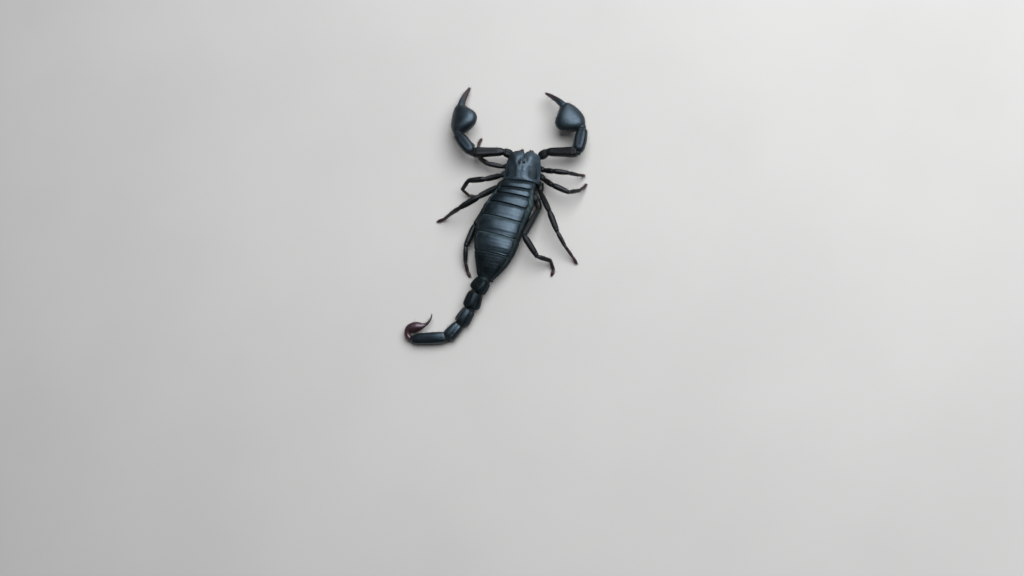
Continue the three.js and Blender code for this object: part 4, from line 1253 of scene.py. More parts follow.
def make_combs(material, tooth_material):
    """The breastbone, the cover of the genital opening, and the pair of combs with their teeth."""
    for name, (rear, front, outline) in BELLY_SHIELDS.items():
        plate = belly_shield(f"{name}_plate", rear, front, outline, BELLY_SHIELD_HEIGHT)
        hand_over(place_in(plate, HEAD), material, [name])
    tooth = draw_out("comb_tooth", [
        ((0, 1.25 * s, -0.1 * s * s), 0.22 * w, 0.2 * w, 0)
        for s, w in ((-0.15, 0.5), (0, 0.9), (0.25, 1), (0.6, 1.05), (0.85, 0.8), (1, 0.35))
    ], 12)
    mark(tooth, "tip", 0.2)
    mark(tooth, "raised", LEVEL)
    for side, sign in SIDES.items():
        parts = []
        for start, end, half in COMB_BARS:
            length = (Vector(end) - Vector(start)).length
            bar = segment("comb_bar", length, half, COMB_BAR_FORM, 16, 2.2, 26)
            emboss(bar, lambda p: -0.06 * hump((p[:, 1] % 1.0) - 0.5, 0.12))
            mark(bar, "tip", 0.1)
            parts.append(place_in(bar, between(start, end)))
        for i in range(COMB_TEETH):
            share = (i + 0.5) / COMB_TEETH
            at = (mix(1.4, 5.8, share), mix(-7.1, -8.0, share), 2.42)
            where = between(at, (at[0] + 0.25, at[1] - 1, 2.38)) @ Matrix.Scale(0.8, 4)
            parts.append(place_in(copy_of(tooth, "comb_tooth_set"), where))
        comb = place_in(join(parts, f"comb_{side}"), HEAD, sign < 0)
        hand_over(comb, tooth_material, [f"pectine_{side}"], ALL_SMOOTH)
    drop(tooth)


# For each segment of a claw arm: its keels, how high they are, how grainy it is and its tint of the tip.
ARM_RELIEF = {
    "trochanter": ((45, -45), 0.12, 0.55, 0.0),
    "femur": ((42, -42, 138, -138), 0.17, 0.9, 0.03),
    "patella": ((38, -38, 90, 140, -140), 0.12, 0.55, 0.06),
}


def arm_masters():
    """The claw arm's first three segments for the right side, in their own frames."""
    masters = {}
    for (name, (half, stations)), length in zip(ARM_SEGMENTS.items(), ARM_BONES):
        made = segment(f"arm_{name}", length, half, stations, 40, 2.7, 34)
        refine(made)
        lines, strength, grainy, tip = ARM_RELIEF[name]

        def height(p, half=half, length=length, lines=lines, strength=strength, name=name):
            y = p[:, 1]
            angle = limb_angle(p, half)
            collar = 0.1 * hump(y - 0.955 * length, 0.2) - 0.14 * hump(y - 0.9 * length, 0.24)
            flat = -0.16 * hump(angle, 24) * step(y, 0.1 * length, 0.3 * length)
            spur = 0
            if name == "patella":
                spur = 0.55 * hump(turn_between(-95, angle), 20) * hump(y - 0.24 * length, 1.1)
            ridges = keels(p, half, lines, strength, (0.08 * length, 0.93 * length), 6, 0.62)
            return ridges + collar + flat + spur

        def upper_side(p, half=half, grainy=grainy, off=20 if name == "patella" else 0):
            return grainy * hump(limb_angle(p, half) + off, 60)

        emboss(made, height)
        granulate(made, 0.5, 0.1, upper_side)
        mark(made, "tip", tip)
        masters[name] = made
    return masters


def finger_line(share, lift):
    """A point on a finger's middle line, from the end of the hand to the tip."""
    bent = np.maximum(share, 0)
    return (
        -(FINGER["inward"] + FINGER["curl"] * bent**1.6),
        FINGER["start"] + FINGER["length"] * share,
        lift * mix(1, 0.4, bent) - FINGER["drop"] * bent**1.4,
    )


def finger(name, lift, stations, sides=28, steps=36):
    """A finger of the right hand, drawn out along its curved middle line."""
    rings = []
    for i in range(steps + 1):
        share = mix(stations[0][0], stations[-1][0], 1 - (1 - i / steps) ** 1.25)
        wide, thick = (float(along(column(stations, k), share)) for k in (1, 2))
        turn = math.degrees(math.atan(FINGER["curl"] * 1.6 * max(share, 0) ** 0.6 / FINGER["length"]))
        rings.append((finger_line(share, lift), wide, thick, turn))
    return draw_out(name, rings, sides, 2.2)


HAND_KEELS = (  # height, degrees round the hand and width
    (0.03, 72, 10), (0.02, 24, 10), (0.02, -20, 10), (0.05, 118, 8), (0.06, 160, 6),
)


def hand_master():
    """The right hand: a swollen palm that runs into the fixed finger, with keels and low warts."""
    rings = []
    for at in eased(HAND[0][0], HAND[-1][0], 36):
        inward, wide, thick = (float(along(column(HAND, k), at)) for k in (1, 2, 3))
        rings.append(((-inward, at, 0), wide, thick, 0))
    palm = draw_out("palm", rings, 48, 2.0)
    hand = join([palm, finger("fixed_finger", *FIXED_FINGER)], "hand_master")
    modify(hand, "REMESH", mode="VOXEL", voxel_size=HAND_VOXEL)
    modify(hand, "SMOOTH", factor=0.6, iterations=12)

    def height(p):
        y = p[:, 1]
        middle, wide, thick = (along(column(HAND, k), y) for k in (1, 2, 3))
        angle = np.degrees(np.arctan2((p[:, 0] + middle) / wide, p[:, 2] / thick))
        run = step(y, 2.0, 4.0) * step(y, 16.0, 13.5)
        lines = sum(high * hump(turn_between(at, angle), broad) for high, at, broad in HAND_KEELS)
        beads = 0.7 + 0.3 * np.cos(2 * math.pi * y / 0.75)
        knuckle = 0.12 * hump(y - 14.0, 1.6) * hump(turn_between(60, angle), 45)
        dip = -0.12 * hump(y - 16.6, 1.2) * hump(angle, 60)
        collar = -0.14 * hump(y - 1.0, 0.28)
        return lines * beads * run + knuckle + dip + collar

    def grainy(p):
        inner_edge = 0.35 + 0.65 * step(p[:, 0], 1.0, -4.5)
        return inner_edge * step(p[:, 1], 0.8, 2.5) * step(p[:, 1], 20, 14)

    emboss(hand, height)
    granulate(hand, 0.6, 0.06, grainy)
    ahead = read(hand.data, "co")[:, 1]
    mark(hand, "tip", 0.9 * step(ahead, 14.5, 27.5) ** 0.8)
    return hand


def lean(points, degrees):
    """Turns the palm outwards about its own middle line, and leaves the wrist and fingers as they are."""
    x, y, z = points.T
    turn = np.radians(degrees) * step(y, -0.5, 3.5) * step(y, 17.5, 12.0)
    middle = -along(column(HAND, 1), y)
    across = x - middle
    sin, cos = np.sin(turn), np.cos(turn)
    return np.column_stack([middle + across * cos + z * sin, y, z * cos - across * sin])


def moving_master():
    """The right hand's moving finger, with a hinge knob, a beaded cutting edge and a hooked point."""
    made = finger("moving_finger", *MOVING_FINGER)
    refine(made)

    def height(p):
        share = (p[:, 1] - FINGER["start"]) / FINGER["length"]
        across, _, level = finger_line(np.clip(share, 0, 1), MOVING_FINGER[0])
        angle = np.degrees(np.arctan2(p[:, 0] - across, p[:, 2] - level))
        beads = 0.5 + 0.5 * np.cos(2 * math.pi * p[:, 1] / 0.5)
        return 0.1 * hump(angle + 20, 12) * beads * step(share, 0.12, 0.2) + 0.06 * hump(angle - 100, 14)

    emboss(made, height)
    mark(made, "tip", mix(0.45, 1.0, step(read(made.data, "co")[:, 1], 15.5, 27.5)))
    return made


def make_claw_arms(arm_finish, elbow_finish, hand_finish, tip_finish):
    """Both claw arms, folded forwards and closed: base, three segments, hand and moving finger."""
    masters = {**arm_masters(), "hand": hand_master(), "finger": moving_master()}
    half, stations = CLAW_BASE
    base = segment("arm_base", ARM_BASE["length"], half, stations, 32, 2.4, 22)
    refine(base)
    emboss(base, lambda p: keels(p, half, (60, -60), 0.08, (-2, 2), 9, 0.5))
    mark(base, "tip", 0.05)
    for side, sign in SIDES.items():
        start = HEAD @ Vector((sign * ARM_BASE["at"][0], *ARM_BASE["at"][1:]))
        at = lay_out(start, [ARM_BASE["length"]], [ARM_POSES[side]["base"]], [ARM_BASE["climb"]])[0][0]
        piece = place_in(copy_of(base, f"arm_base_{side}"), at, sign < 0)
        hand_over(piece, arm_finish, [f"pedipalp_coxa_{side}"], ALL_SMOOTH)
        frames = arm_frames(side)
        for name, at in zip(ARM_SEGMENTS, frames):
            piece = place_in(copy_of(masters[name], f"arm_{name}_{side}"), at, sign < 0)
            finish_here = elbow_finish if name == "patella" else arm_finish
            hand_over(piece, finish_here, [f"pedipalp_{name}_{side}"], ALL_SMOOTH)
        hand = copy_of(masters["hand"], f"hand_{side}")
        reshape(hand, lambda p, roll=HAND_ROLL[side]: lean(p, roll))
        place_in(hand, frames[3], sign < 0)
        hand_over(hand, hand_finish, [f"chela_hand_{side}"], ALL_SMOOTH)
        piece = place_in(copy_of(masters["finger"], f"finger_{side}"), frames[3], sign < 0)
        hand_over(piece, tip_finish, [f"chela_finger_{side}"], ALL_SMOOTH)
    for master in (*masters.values(), base):
        drop(master)


# ---- Tail ----

TAIL_FORM = (
    (-0.06, 0.42, 0.42), (0, 0.6, 0.62), (0.05, 0.72, 0.72), (0.14, 0.86, 0.84), (0.35, 0.97, 0.94),
    (0.58, 1.01, 1.0), (0.8, 0.98, 1.01), (0.92, 0.88, 0.92), (0.98, 0.74, 0.78), (1.01, 0.56, 0.58),
    (1.03, 0.36, 0.36),
)
LAST_FORM = (
    (-0.03, 0.4, 0.4), (0, 0.66, 0.68), (0.04, 0.8, 0.82), (0.1, 0.9, 0.93), (0.35, 1.03, 1.0),
    (0.62, 0.97, 0.97), (0.8, 0.87, 0.9), (0.9, 0.75, 0.78), (0.96, 0.62, 0.64), (1.0, 0.46, 0.48),
    (1.02, 0.3, 0.3),
)
TAIL_KEELS = (38, -38, 78, -78, 108, -108, 140, -140, 166, -166)
LAST_KEELS = (42, -42, 140, -140, 180)
# The form, its rings, the keels round it, their height, and how deep the furrow is.
FIRST_TAIL = (TAIL_FORM, 34, TAIL_KEELS, 0.2, 1.0)
LAST_TAIL = (LAST_FORM, 46, LAST_KEELS, 0.18, 0.6)
TAIL_TINTS = (0.0, 0.0, 0.02, 0.05, 0.1)
# The sting's bulb and point fold back beside the last tail segment: step, heading, half height, half width.
STING = (
    (0, 186, 1.25, 1.25), (0.7, 176, 1.4, 1.4), (0.9, 152, 1.5, 1.5), (1.1, 124, 1.65, 1.6),
    (1.3, 98, 1.95, 1.85), (1.6, 64, 2.3, 2.35),
    (1.8, 36, 2.45, 2.55), (1.8, 24, 2.3, 2.4), (1.7, 20, 1.8, 1.9), (1.2, 26, 1.2, 1.3),
    (1.0, 36, 0.85, 0.9), (1.7, 50, 0.68, 0.68), (1.7, 66, 0.52, 0.52), (1.6, 82, 0.38, 0.38),
    (1.5, 96, 0.2, 0.2),
)
STING_CLIMB = 5
STING_HINGE = (0.1, 0.5)
STING_RINGS = 64
BULB_RING = 24


def make_tail(finishes):
    """The tail's five segments, keeled and beaded, each with a furrow above and a finish of its own."""
    frames, _ = tail_frames()
    for i, (bone, at) in enumerate(zip(TAIL, frames), 1):
        half, length = bone["half"], bone["length"]
        form, steps, lines, high, deep = LAST_TAIL if i == len(TAIL) else FIRST_TAIL
        made = segment(f"tail_{i}", length, half, form, 56, 2.7, steps)
        refine(made)

        def height(p, half=half, length=length, lines=lines, high=high, deep=deep):
            y = p[:, 1]
            growing = 0.75 + 0.6 * step(y, 0.5 * length, 0.92 * length)
            ridges = keels(p, half, lines, high, (0.06 * length, 0.96 * length), 4, 0.66)
            furrow = -0.24 * hump(limb_angle(p, half), 22) * step(y, 0.05 * length, 0.2 * length)
            collar = 0.1 * hump(y - 0.955 * length, 0.2) - 0.2 * hump(y - 0.03 * length, 0.35)
            return ridges * growing + furrow * deep + collar

        def grainy(p, half=half):
            return 0.6 + 0.35 * np.cos(np.radians(limb_angle(p, half) * 4))

        emboss(made, height)
        granulate(made, 0.46, 0.12, grainy)
        mark(made, "tip", TAIL_TINTS[i - 1])
        place_in(made, at)
        hand_over(made, finishes[i - 1], [f"metasoma_{i}"], ALL_SMOOTH)


def sting_rings(count):
    """The rings of the bulb and the point, evenly spaced along the bent middle line."""
    frames, end = tail_frames()
    bone = frames[-1].to_3x3()
    at = end + bone.col[1] * STING_HINGE[0] + bone.col[2] * STING_HINGE[1]
    stations = []
    travelled = 0.0
    for stride, heading, tall, wide in STING:
        turn = math.radians(heading)
        climb = math.tan(math.radians(STING_CLIMB))
        ahead = Vector((math.cos(turn), math.sin(turn), climb)).normalized()
        at = at + ahead * stride
        travelled += stride
        stations.append((travelled, *at, heading, tall, wide))
    shares = [mix(0, travelled, i / count) for i in range(count + 1)]
    curves = [along(column(stations, k), shares).tolist() for k in range(1, 7)]
    return [((x, y, z), wide, tall, heading - 90) for x, y, z, heading, tall, wide in zip(*curves)]


def distance_from(points, place):
    return np.linalg.norm(points - np.array(place), axis=1)


def make_sting(material):
    """The sting: a swollen, warty bulb and a long curved point."""
    rings = sting_rings(STING_RINGS)
    (x, y, z), wide, tall, turn = rings[0]
    neck = ((x, y - 0.35, z), wide * 0.5, tall * 0.5, turn)
    made = draw_out("sting", [neck, *rings], 40)
    refine(made)
    bulb = rings[BULB_RING][0]

    def height(p):
        return -0.08 * hump(p[:, 2] - bulb[2], 0.35) * hump(distance_from(p, bulb), 5.2)

    emboss(made, height)
    granulate(made, 0.75, 0.13, lambda p: hump(distance_from(p, bulb), 4.2))
    mark(made, "tip", step(distance_from(read(made.data, "co"), rings[-1][0]), 9.5, 1.0))
    hand_over(made, material, ["telson"], ALL_SMOOTH)


# ---- Skin at the joints ----


# Half widths of the folds, from the root of each limb.
LEG_FOLDS = (1.25, 1.0, 1.0, 0.95, 0.72)
ARM_FOLDS = (1.5, 1.55, 1.6, 1.15)
TAIL_FOLDS = (3.0, 2.75, 2.55, 2.4, 2.2)
FOLD_FORM = (
    (-0.85, 0.5), (-0.7, 0.74), (-0.5, 0.88), (-0.3, 0.9), (-0.12, 0.94), (0.0, 0.91), (0.12, 0.94),
    (0.3, 0.9), (0.5, 0.87), (0.7, 0.72), (0.85, 0.45),
)


def joint_places():
    """Where limb segments meet: a frame along the joint and its half width."""
    places = []
    for name in LEG_POSES:
        width = LEG_WIDTHS[int(name[-1]) - 1]
        places += [(at, half * width) for at, half in zip(leg_frames(name), LEG_FOLDS)]
    for side in SIDES:
        places += zip(arm_frames(side), ARM_FOLDS)
    places += zip(tail_frames()[0], TAIL_FOLDS)
    return places


def make_joint_skin(material):
    """The soft folded skin that shows where two segments of a limb meet."""
    master = draw_out("joint_fold", [((0, y, 0), wide, wide, 0) for y, wide in FOLD_FORM], 24)
    mark(master, "pale", 0.1)
    folds = [
        place_in(copy_of(master, "joint_fold_set"), at @ Matrix.Scale(half, 4))
        for at, half in joint_places()
    ]
    skin = join(folds, "joint_skin")
    hand_over(skin, material, (), ALL_SMOOTH)
    drop(master)


# ---- Bristles ----

# Where bristles stand: pieces by the start of their names, how many, and how long against the usual.
BRISTLED = (
    ("leg_left", 100, 0.9), ("leg_right", 100, 0.9), ("arm_femur", 90, 0.9), ("arm_patella", 110, 1.0),
    ("arm_trochanter", 40, 0.8), ("hand_", 340, 1.05), ("finger_", 130, 0.9), ("tail_", 110, 0.9),
    ("sting", 110, 1.0), ("mouthpart", 60, 0.6), ("back_plate_7", 40, 0.6), ("comb_", 20, 0.4),
)
BRISTLE_SEED = 11
BRISTLE_FLOOR = 0.4  # none stands lower than this over the floor
BRISTLE_SPREAD = 0.6
BRISTLE_LENGTHS = (0.35, 0.5, 0.7, 1.0, 1.5)
BRISTLE_BEND = 0.16
BRISTLE_MARGIN = 0.02  # how far they stay inside the CAD model's box
BRISTLE_FORM = ((-0.12, 1.0), (0.0, 1.0), (0.55, 0.62), (1.0, 0.12))


def bristle_roots(piece, count, chance):
    """Random places on a finished piece, in millimetres: root, direction, and share across and along it."""
    mesh = piece.data
    points, normals = read(mesh, "co") / MM, read(mesh, "normal")
    low, high = points.min(axis=0), points.max(axis=0)
    roots = []
    while len(roots) < count:
        i = chance.randrange(len(points))
        if points[i][2] < BRISTLE_FLOOR:
            continue
        astray = Vector([chance.uniform(-BRISTLE_SPREAD, BRISTLE_SPREAD) for _ in range(3)])
        direction = (Vector(normals[i]) + astray).normalized()
        share = (points[i] - low) / np.maximum(high - low, 0.01)
        roots.append((Vector(points[i]), direction, (share[0], share[1])))
    return roots


def grow(name, roots, lengths, radius, material, limits):
    """Sets one bent bristle on every root, as a single mesh with its own map for baking."""
    master = draw_out("bristle", [((0, y, BRISTLE_BEND * y * y), w, w, 0) for y, w in BRISTLE_FORM], 3)
    pick(master)
    modify(master, "TRIANGULATE")
    shape = read(master.data, "co")
    faces = np.array([list(p.vertices) for p in master.data.polygons])
    drop(master)
    points, triangles, tips, places = [], [], [], []
    for i, ((root, direction, place), length) in enumerate(zip(roots, lengths)):
        turn = np.array(direction.to_track_quat("Y", "Z").to_matrix())
        scaled = shape * np.array((radius, length, radius))
        scaled[:, 2] = shape[:, 2] * radius + BRISTLE_BEND * length * (shape[:, 1] ** 2)
        spot = scaled @ turn.T + np.array(root)
        points.append(np.clip(spot, limits[0], limits[1]))
        triangles.append(faces + i * len(shape))
        tips.append(np.clip(shape[:, 1], 0, 1))
        spread = np.column_stack([shape[:, 1], shape[:, 0] * 0.5 + 0.5])
        places.append(np.array(place) * 0.98 + 0.003 * spread)
    mesh = bpy.data.meshes.new(name)
    mesh.from_pydata(np.concatenate(points).tolist(), [], np.concatenate(triangles).tolist())
    coat = bpy.data.objects.new(name, mesh)
    bpy.context.scene.collection.objects.link(coat)
    mark(coat, "tip", np.concatenate(tips))
    spots = np.concatenate(places)
    layer = mesh.uv_layers.new(name="OFBake")
    corners = np.empty(len(mesh.loops), np.int32)
    mesh.loops.foreach_get("vertex_index", corners)
    layer.uv.foreach_set("vector", spots[corners].astype(np.float32).ravel())
    hand_over(coat, material, (), ALL_SMOOTH)


def make_bristles(sizes, material):
    """Stiff single hairs on the limbs, the claws, the tail and the sting."""
    chance = random.Random(BRISTLE_SEED)
    low, high = (np.array(corner) / MM for corner in CAD_BOX)
    limits = (low + BRISTLE_MARGIN, high - BRISTLE_MARGIN)
    for start, count, long in BRISTLED:
        roots = []
        for piece in sorted(bpy.data.objects, key=lambda o: o.name):
            if piece.name.startswith(start) and "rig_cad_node" not in piece and piece.type == "MESH":
                roots += bristle_roots(piece, count, chance)
        usual = sizes.bristle_length / MM * long
        lengths = [usual * chance.choice(BRISTLE_LENGTHS) for _ in roots]
        name = f"bristles_{start.strip('_')}"
        grow(name, roots, lengths, sizes.bristle_radius / MM, material, limits)


# ---- Stage ----

CAMERA = {
    "aim": (9.71, -49.29, 0.0),
    "back": (math.tan(math.radians(14)), -math.tan(math.radians(12)), 1.0),
    "distance": 607.8,
    "roll": 16.7,
    "lens": 45.0,
    "sensor": 36.0,
}
FLOOR_SIZE = 6  # metres
LAMPS = (  # name, place, width and colour
    ("key", (0.22, 0.34, 0.74), 0.95, (0.98, 0.99, 1.0)),
    ("fill", (-0.7, -0.2, 0.6), 0.8, (0.94, 0.97, 1.0)),
    ("rim", (0.05, 0.9, 0.4), 0.5, (0.94, 0.97, 1.0)),
)
SKY = (0.86, 0.9, 1.0)


def make_camera():
    """A camera nearly overhead, rolled so that the tail runs down and to the left."""
    back = Vector(CAMERA["back"]).normalized()
    upward = (Vector((0, 1, 0)) - back * back.y).normalized()
    sideways = (-back).cross(upward)
    roll = math.radians(CAMERA["roll"])
    right = math.sin(roll) * upward + math.cos(roll) * sideways
    up = math.cos(roll) * upward - math.sin(roll) * sideways
    data = bpy.data.cameras.new("camera")
    data.lens = CAMERA["lens"]
    data.sensor_width = CAMERA["sensor"]
    data.clip_start = 0.01
    camera = bpy.data.objects.new("camera", data)
    bpy.context.scene.collection.objects.link(camera)
    camera.matrix_world = Matrix((right, up, back)).transposed().to_4x4()
    aim = TRUNK @ Vector(CAMERA["aim"])
    camera.location = (aim + back * CAMERA["distance"]) * MM
    bpy.context.scene.camera = camera


def floor_material(colour):
    """A plain pale matt floor with the faintest unevenness."""
    material, tree, surface, place = new_material("pale_floor")
    cloud = node(tree, "TexNoise", {"Vector": place, "Scale": 12.0, "Detail": 4.0})
    shade = ramp(tree, cloud.outputs[0], 0.0, 1.0, 0.3, 0.7)
    clouded = mixed(tree, shade, rgba(colour), rgba([c * 0.96 for c in colour]))
    tree.links.new(clouded, surface.inputs["Base Color"])
    surface.inputs["Roughness"].default_value = 0.75
    surface.inputs["Specular IOR Level"].default_value = 0.2
    return material


def add_lamp(name, place, size, colour, power):
    """A round soft lamp, at a place in metres, aimed at the middle of the animal."""
    data = bpy.data.lights.new(name, "AREA")
    data.shape = "DISK"
    data.size = size
    data.energy = power
    data.color = colour
    lamp = bpy.data.objects.new(name, data)
    bpy.context.scene.collection.objects.link(lamp)
    lamp.location = place
    lamp.rotation_euler = Vector(place).to_track_quat("Z", "Y").to_euler()


def make_stage(stage):
    make_camera()
    floor = add("floor", "plane", size=FLOOR_SIZE)
    floor.data.materials.append(floor_material(stage.floor))
    for name, place, size, colour in LAMPS:
        add_lamp(name, place, size, colour, getattr(stage, f"{name}_power"))
    world = bpy.data.worlds.new("studio")
    world.use_nodes = True
    background = world.node_tree.nodes["Background"]
    background.inputs["Color"].default_value = rgba(SKY)
    background.inputs["Strength"].default_value = stage.surround
    bpy.context.scene.world = world
    bpy.context.scene.view_settings.view_transform = "Standard"


# ---- What a user may change ----


def length(name, description, default):
    return bpy.props.FloatProperty(
        name=name, description=description, default=default, min=0, precision=5, unit="LENGTH"
    )


def share(name, description, default):
    return bpy.props.FloatProperty(
        name=name, description=description, default=default, min=0, max=1, subtype="FACTOR"
    )


def power(name, description, default):
    return bpy.props.FloatProperty(name=name, description=description, default=default, min=0, unit="POWER")


def tone(name, description, default):
    return bpy.props.FloatVectorProperty(
        name=name, description=description, default=default, min=0, max=1, size=3, subtype="COLOR"
    )


class ScorpionSizes(bpy.types.PropertyGroup):
    """Sizes that aren't fixed by the CAD model."""

    plate_thickness: length("Plate thickness", "Thickness of the back and belly plates", 0.0005)
    bristle_length: length("Bristle length", "Usual length of a bristle on the limbs", 0.0012)
    bristle_radius: length("Bristle radius", "Radius of a bristle at its root", 0.000045)


class ShellTones(bpy.types.PropertyGroup):
    """Colours of the body's shell."""

    deep: tone("Deep", "The shell's darkest colour", (0.002, 0.0034, 0.0037))
    lit: tone("Lit", "Colour of the cloudier patches", (0.0048, 0.0078, 0.0087))
    worn: tone("Worn", "Colour of raised keels and granules", (0.02, 0.03, 0.034))
    sheen: tone("Sheen", "Tint of the shine", (0.52, 0.76, 1.0))
    gloss: share("Roughness", "How dull the shell is", 0.35)


class LimbTones(bpy.types.PropertyGroup):
    """Colours of the legs and claw arms."""

    deep: tone("Deep", "The limbs' darkest colour", (0.0025, 0.0033, 0.0033))
    lit: tone("Lit", "Colour of the cloudier patches", (0.0058, 0.0074, 0.0072))
    worn: tone("Worn", "Colour of raised keels and granules", (0.022, 0.025, 0.024))
    sheen: tone("Sheen", "Tint of the shine", (0.8, 0.86, 1.0))
    tip: tone("Tip", "Colour towards the tips of the limbs", (0.032, 0.0125, 0.0125))
    gloss: share("Roughness", "How dull the limbs are", 0.36)


class StingTones(bpy.types.PropertyGroup):
    """Colours of the sting's bulb and point."""

    deep: tone("Deep", "The bulb's darkest colour", (0.017, 0.0065, 0.008))
    lit: tone("Lit", "Colour of the cloudier patches", (0.034, 0.0145, 0.0175))
    worn: tone("Worn", "Colour of warts and ridges", (0.06, 0.034, 0.04))
    sheen: tone("Sheen", "Tint of the shine", (0.96, 0.84, 1.0))
    tip: tone("Tip", "Colour of the point", (0.006, 0.004, 0.005))
    gloss: share("Roughness", "How dull the bulb is", 0.36)


class SkinTones(bpy.types.PropertyGroup):
    """Colours of the soft skin."""

    skin: tone("Skin", "Usual colour of the skin", (0.0055, 0.0095, 0.0105))
    fold: tone("Fold", "Colour inside the folds", (0.003, 0.005, 0.0055))
    stretched: tone("Stretched", "Colour where the skin is stretched", (0.05, 0.08, 0.088))


class StageSettings(bpy.types.PropertyGroup):
    """The floor and the lights."""

    floor: tone("Floor", "Colour of the floor", (0.44, 0.435, 0.425))
    key_power: power("Key light", "Power of the soft light from overhead and a little to the right", 15.0)
    fill_power: power("Fill light", "Power of the broad light from the left", 0.25)
    rim_power: power("Rim light", "Power of the light from beyond the head", 1.2)
    surround: share("Surround", "Brightness of the room's own light", 0.06)


SETTINGS = {
    "scorpion_sizes": ScorpionSizes,
    "scorpion_shell": ShellTones,
    "scorpion_limbs": LimbTones,
    "scorpion_sting": StingTones,
    "scorpion_skin": SkinTones,
    "scorpion_stage": StageSettings,
}


def finish(scene, name):
    """The named material, made the first time it is asked for."""
    made = bpy.data.materials.get(name)
    if made:
        return made
    if "cuticle" not in bpy.data.node_groups:
        cuticle_group()
        wrinkle_group()
    if name in HORNS:
        tones, duller, grain, relief, shine = HORNS[name]
        colours = getattr(scene, f"scorpion_{tones}")
        tip = scene.scorpion_sting.tip if tones == "sting" else scene.scorpion_limbs.tip
        return shell_material(name, colours, colours.gloss + duller, grain, relief, shine, tip)
    if name == "soft_skin":
        return skin_material(name, scene.scorpion_skin)
    if name == "lens":
        return lens_material(name)
    return bristle_material(name)


# ---- Operators ----


class SCORPION_OT_head_shield(bpy.types.Operator):
    """Makes the head shield with its furrows, eye mound and notched front"""

    bl_idname = "scorpion.head_shield"
    bl_label = "Head shield"

    def execute(self, context):
        make_head_shield(context.scene.scorpion_sizes, finish(context.scene, "head_horn"))
        return {"FINISHED"}


class SCORPION_OT_eyes(bpy.types.Operator):
    """Makes the two big eyes on their mound and the three small ones at each front corner"""

    bl_idname = "scorpion.eyes"
    bl_label = "Eyes"

    def execute(self, context):
        make_eyes(finish(context.scene, "lens"))
        return {"FINISHED"}


class SCORPION_OT_mouthparts(bpy.types.Operator):
    """Makes the two mouth pincers with their fingers and teeth"""

    bl_idname = "scorpion.mouthparts"
    bl_label = "Mouth pincers"

    def execute(self, context):
        make_mouthparts(finish(context.scene, "tip_horn"))
        return {"FINISHED"}


class SCORPION_OT_back_plates(bpy.types.Operator):
    """Makes the seven overlapping plates of the back"""

    bl_idname = "scorpion.back_plates"
    bl_label = "Back plates"

    def execute(self, context):
        scene = context.scene
        make_back_plates(scene.scorpion_sizes, finish(scene, "body_horn"), finish(scene, "tail_horn"))
        return {"FINISHED"}


class SCORPION_OT_belly_plates(bpy.types.Operator):
    """Makes the five plates of the belly with their breathing slits"""

    bl_idname = "scorpion.belly_plates"
    bl_label = "Belly plates"

    def execute(self, context):
        make_belly_plates(context.scene.scorpion_sizes, finish(context.scene, "limb_horn"))
        return {"FINISHED"}


class SCORPION_OT_body_skin(bpy.types.Operator):
    """Makes the folded skin under and between the plates"""

    bl_idname = "scorpion.body_skin"
    bl_label = "Body skin"

    def execute(self, context):
        make_skin(finish(context.scene, "soft_skin"))
        return {"FINISHED"}


class SCORPION_OT_leg_bases(bpy.types.Operator):
    """Makes the fixed bases of the legs under the head shield"""

    bl_idname = "scorpion.leg_bases"
    bl_label = "Leg bases"

    def execute(self, context):
        make_leg_bases(finish(context.scene, "limb_horn"))
        return {"FINISHED"}


class SCORPION_OT_combs(bpy.types.Operator):
    """Makes the breastbone, the plate behind it and the two toothed combs"""

    bl_idname = "scorpion.combs"
    bl_label = "Combs and breastbone"

    def execute(self, context):
        make_combs(finish(context.scene, "limb_horn"), finish(context.scene, "tip_horn"))
        return {"FINISHED"}


class SCORPION_OT_legs(bpy.types.Operator):
    """Makes the eight legs with their spines and claws"""

    bl_idname = "scorpion.legs"
    bl_label = "Legs"

    def execute(self, context):
        make_legs(finish(context.scene, "limb_horn"), finish(context.scene, "tip_horn"))
        return {"FINISHED"}


class SCORPION_OT_claw_arms(bpy.types.Operator):
    """Makes the two claw arms, folded forwards, with their hands and fingers"""

    bl_idname = "scorpion.claw_arms"
    bl_label = "Claw arms"

    def execute(self, context):
        scene = context.scene
        names = ("limb_horn", "elbow_horn", "hand_horn", "tip_horn")
        make_claw_arms(*(finish(scene, name) for name in names))
        return {"FINISHED"}


class SCORPION_OT_tail(bpy.types.Operator):
    """Makes the five keeled segments of the tail"""

    bl_idname = "scorpion.tail"
    bl_label = "Tail"

    def execute(self, context):
        names = ("tail_horn", "tail_horn", "elbow_horn", "body_horn", "body_horn")
        make_tail([finish(context.scene, name) for name in names])
        return {"FINISHED"}


class SCORPION_OT_sting(bpy.types.Operator):
    """Makes the sting's bulb and its long curved point"""

    bl_idname = "scorpion.sting"
    bl_label = "Sting"

    def execute(self, context):
        make_sting(finish(context.scene, "sting_horn"))
        return {"FINISHED"}


class SCORPION_OT_joint_skin(bpy.types.Operator):
    """Makes the folded skin at the joints of the limbs and tail"""

    bl_idname = "scorpion.joint_skin"
    bl_label = "Joint skin"

    def execute(self, context):
        make_joint_skin(finish(context.scene, "soft_skin"))
        return {"FINISHED"}


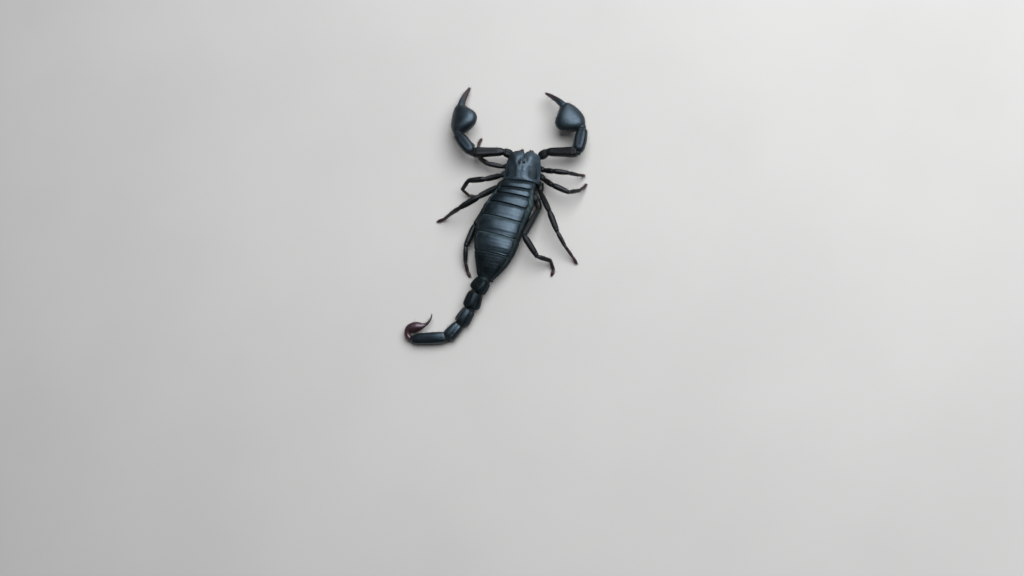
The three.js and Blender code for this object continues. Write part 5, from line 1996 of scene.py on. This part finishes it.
class SCORPION_OT_bristles(bpy.types.Operator):
    """Sets stiff hairs on the limbs, claws, tail and sting"""

    bl_idname = "scorpion.bristles"
    bl_label = "Bristles"

    def execute(self, context):
        make_bristles(context.scene.scorpion_sizes, finish(context.scene, "bristle"))
        return {"FINISHED"}


class SCORPION_OT_stage(bpy.types.Operator):
    """Sets up the camera, the pale floor and the soft lights"""

    bl_idname = "scorpion.stage"
    bl_label = "Stage"

    def execute(self, context):
        make_stage(context.scene.scorpion_stage)
        return {"FINISHED"}


OPERATORS = (
    SCORPION_OT_head_shield,
    SCORPION_OT_eyes,
    SCORPION_OT_mouthparts,
    SCORPION_OT_back_plates,
    SCORPION_OT_belly_plates,
    SCORPION_OT_body_skin,
    SCORPION_OT_leg_bases,
    SCORPION_OT_combs,
    SCORPION_OT_legs,
    SCORPION_OT_claw_arms,
    SCORPION_OT_tail,
    SCORPION_OT_sting,
    SCORPION_OT_joint_skin,
    SCORPION_OT_bristles,
    SCORPION_OT_stage,
)


class SCORPION_PT_panel(bpy.types.Panel):
    """Lists the pieces to make, and the sizes and colours they take"""

    bl_label = "Scorpion"
    bl_idname = "SCORPION_PT_panel"
    bl_space_type = "VIEW_3D"
    bl_region_type = "UI"
    bl_category = "Scorpion"

    def draw(self, context):
        for operator in OPERATORS:
            self.layout.operator(operator.bl_idname)
        for name, group in SETTINGS.items():
            box = self.layout.box()
            settings = getattr(context.scene, name)
            for field in group.__annotations__:
                box.prop(settings, field)


def register():
    for cls in (*SETTINGS.values(), *OPERATORS, SCORPION_PT_panel):
        bpy.utils.register_class(cls)
    for name, group in SETTINGS.items():
        setattr(bpy.types.Scene, name, bpy.props.PointerProperty(type=group))


def unregister():
    for name in SETTINGS:
        delattr(bpy.types.Scene, name)
    for cls in reversed((*SETTINGS.values(), *OPERATORS, SCORPION_PT_panel)):
        bpy.utils.unregister_class(cls)


def main():
    register()
    for operator in OPERATORS:
        family, name = operator.bl_idname.split(".")
        getattr(getattr(bpy.ops, family), name)()


if __name__ == "__main__":
    main()
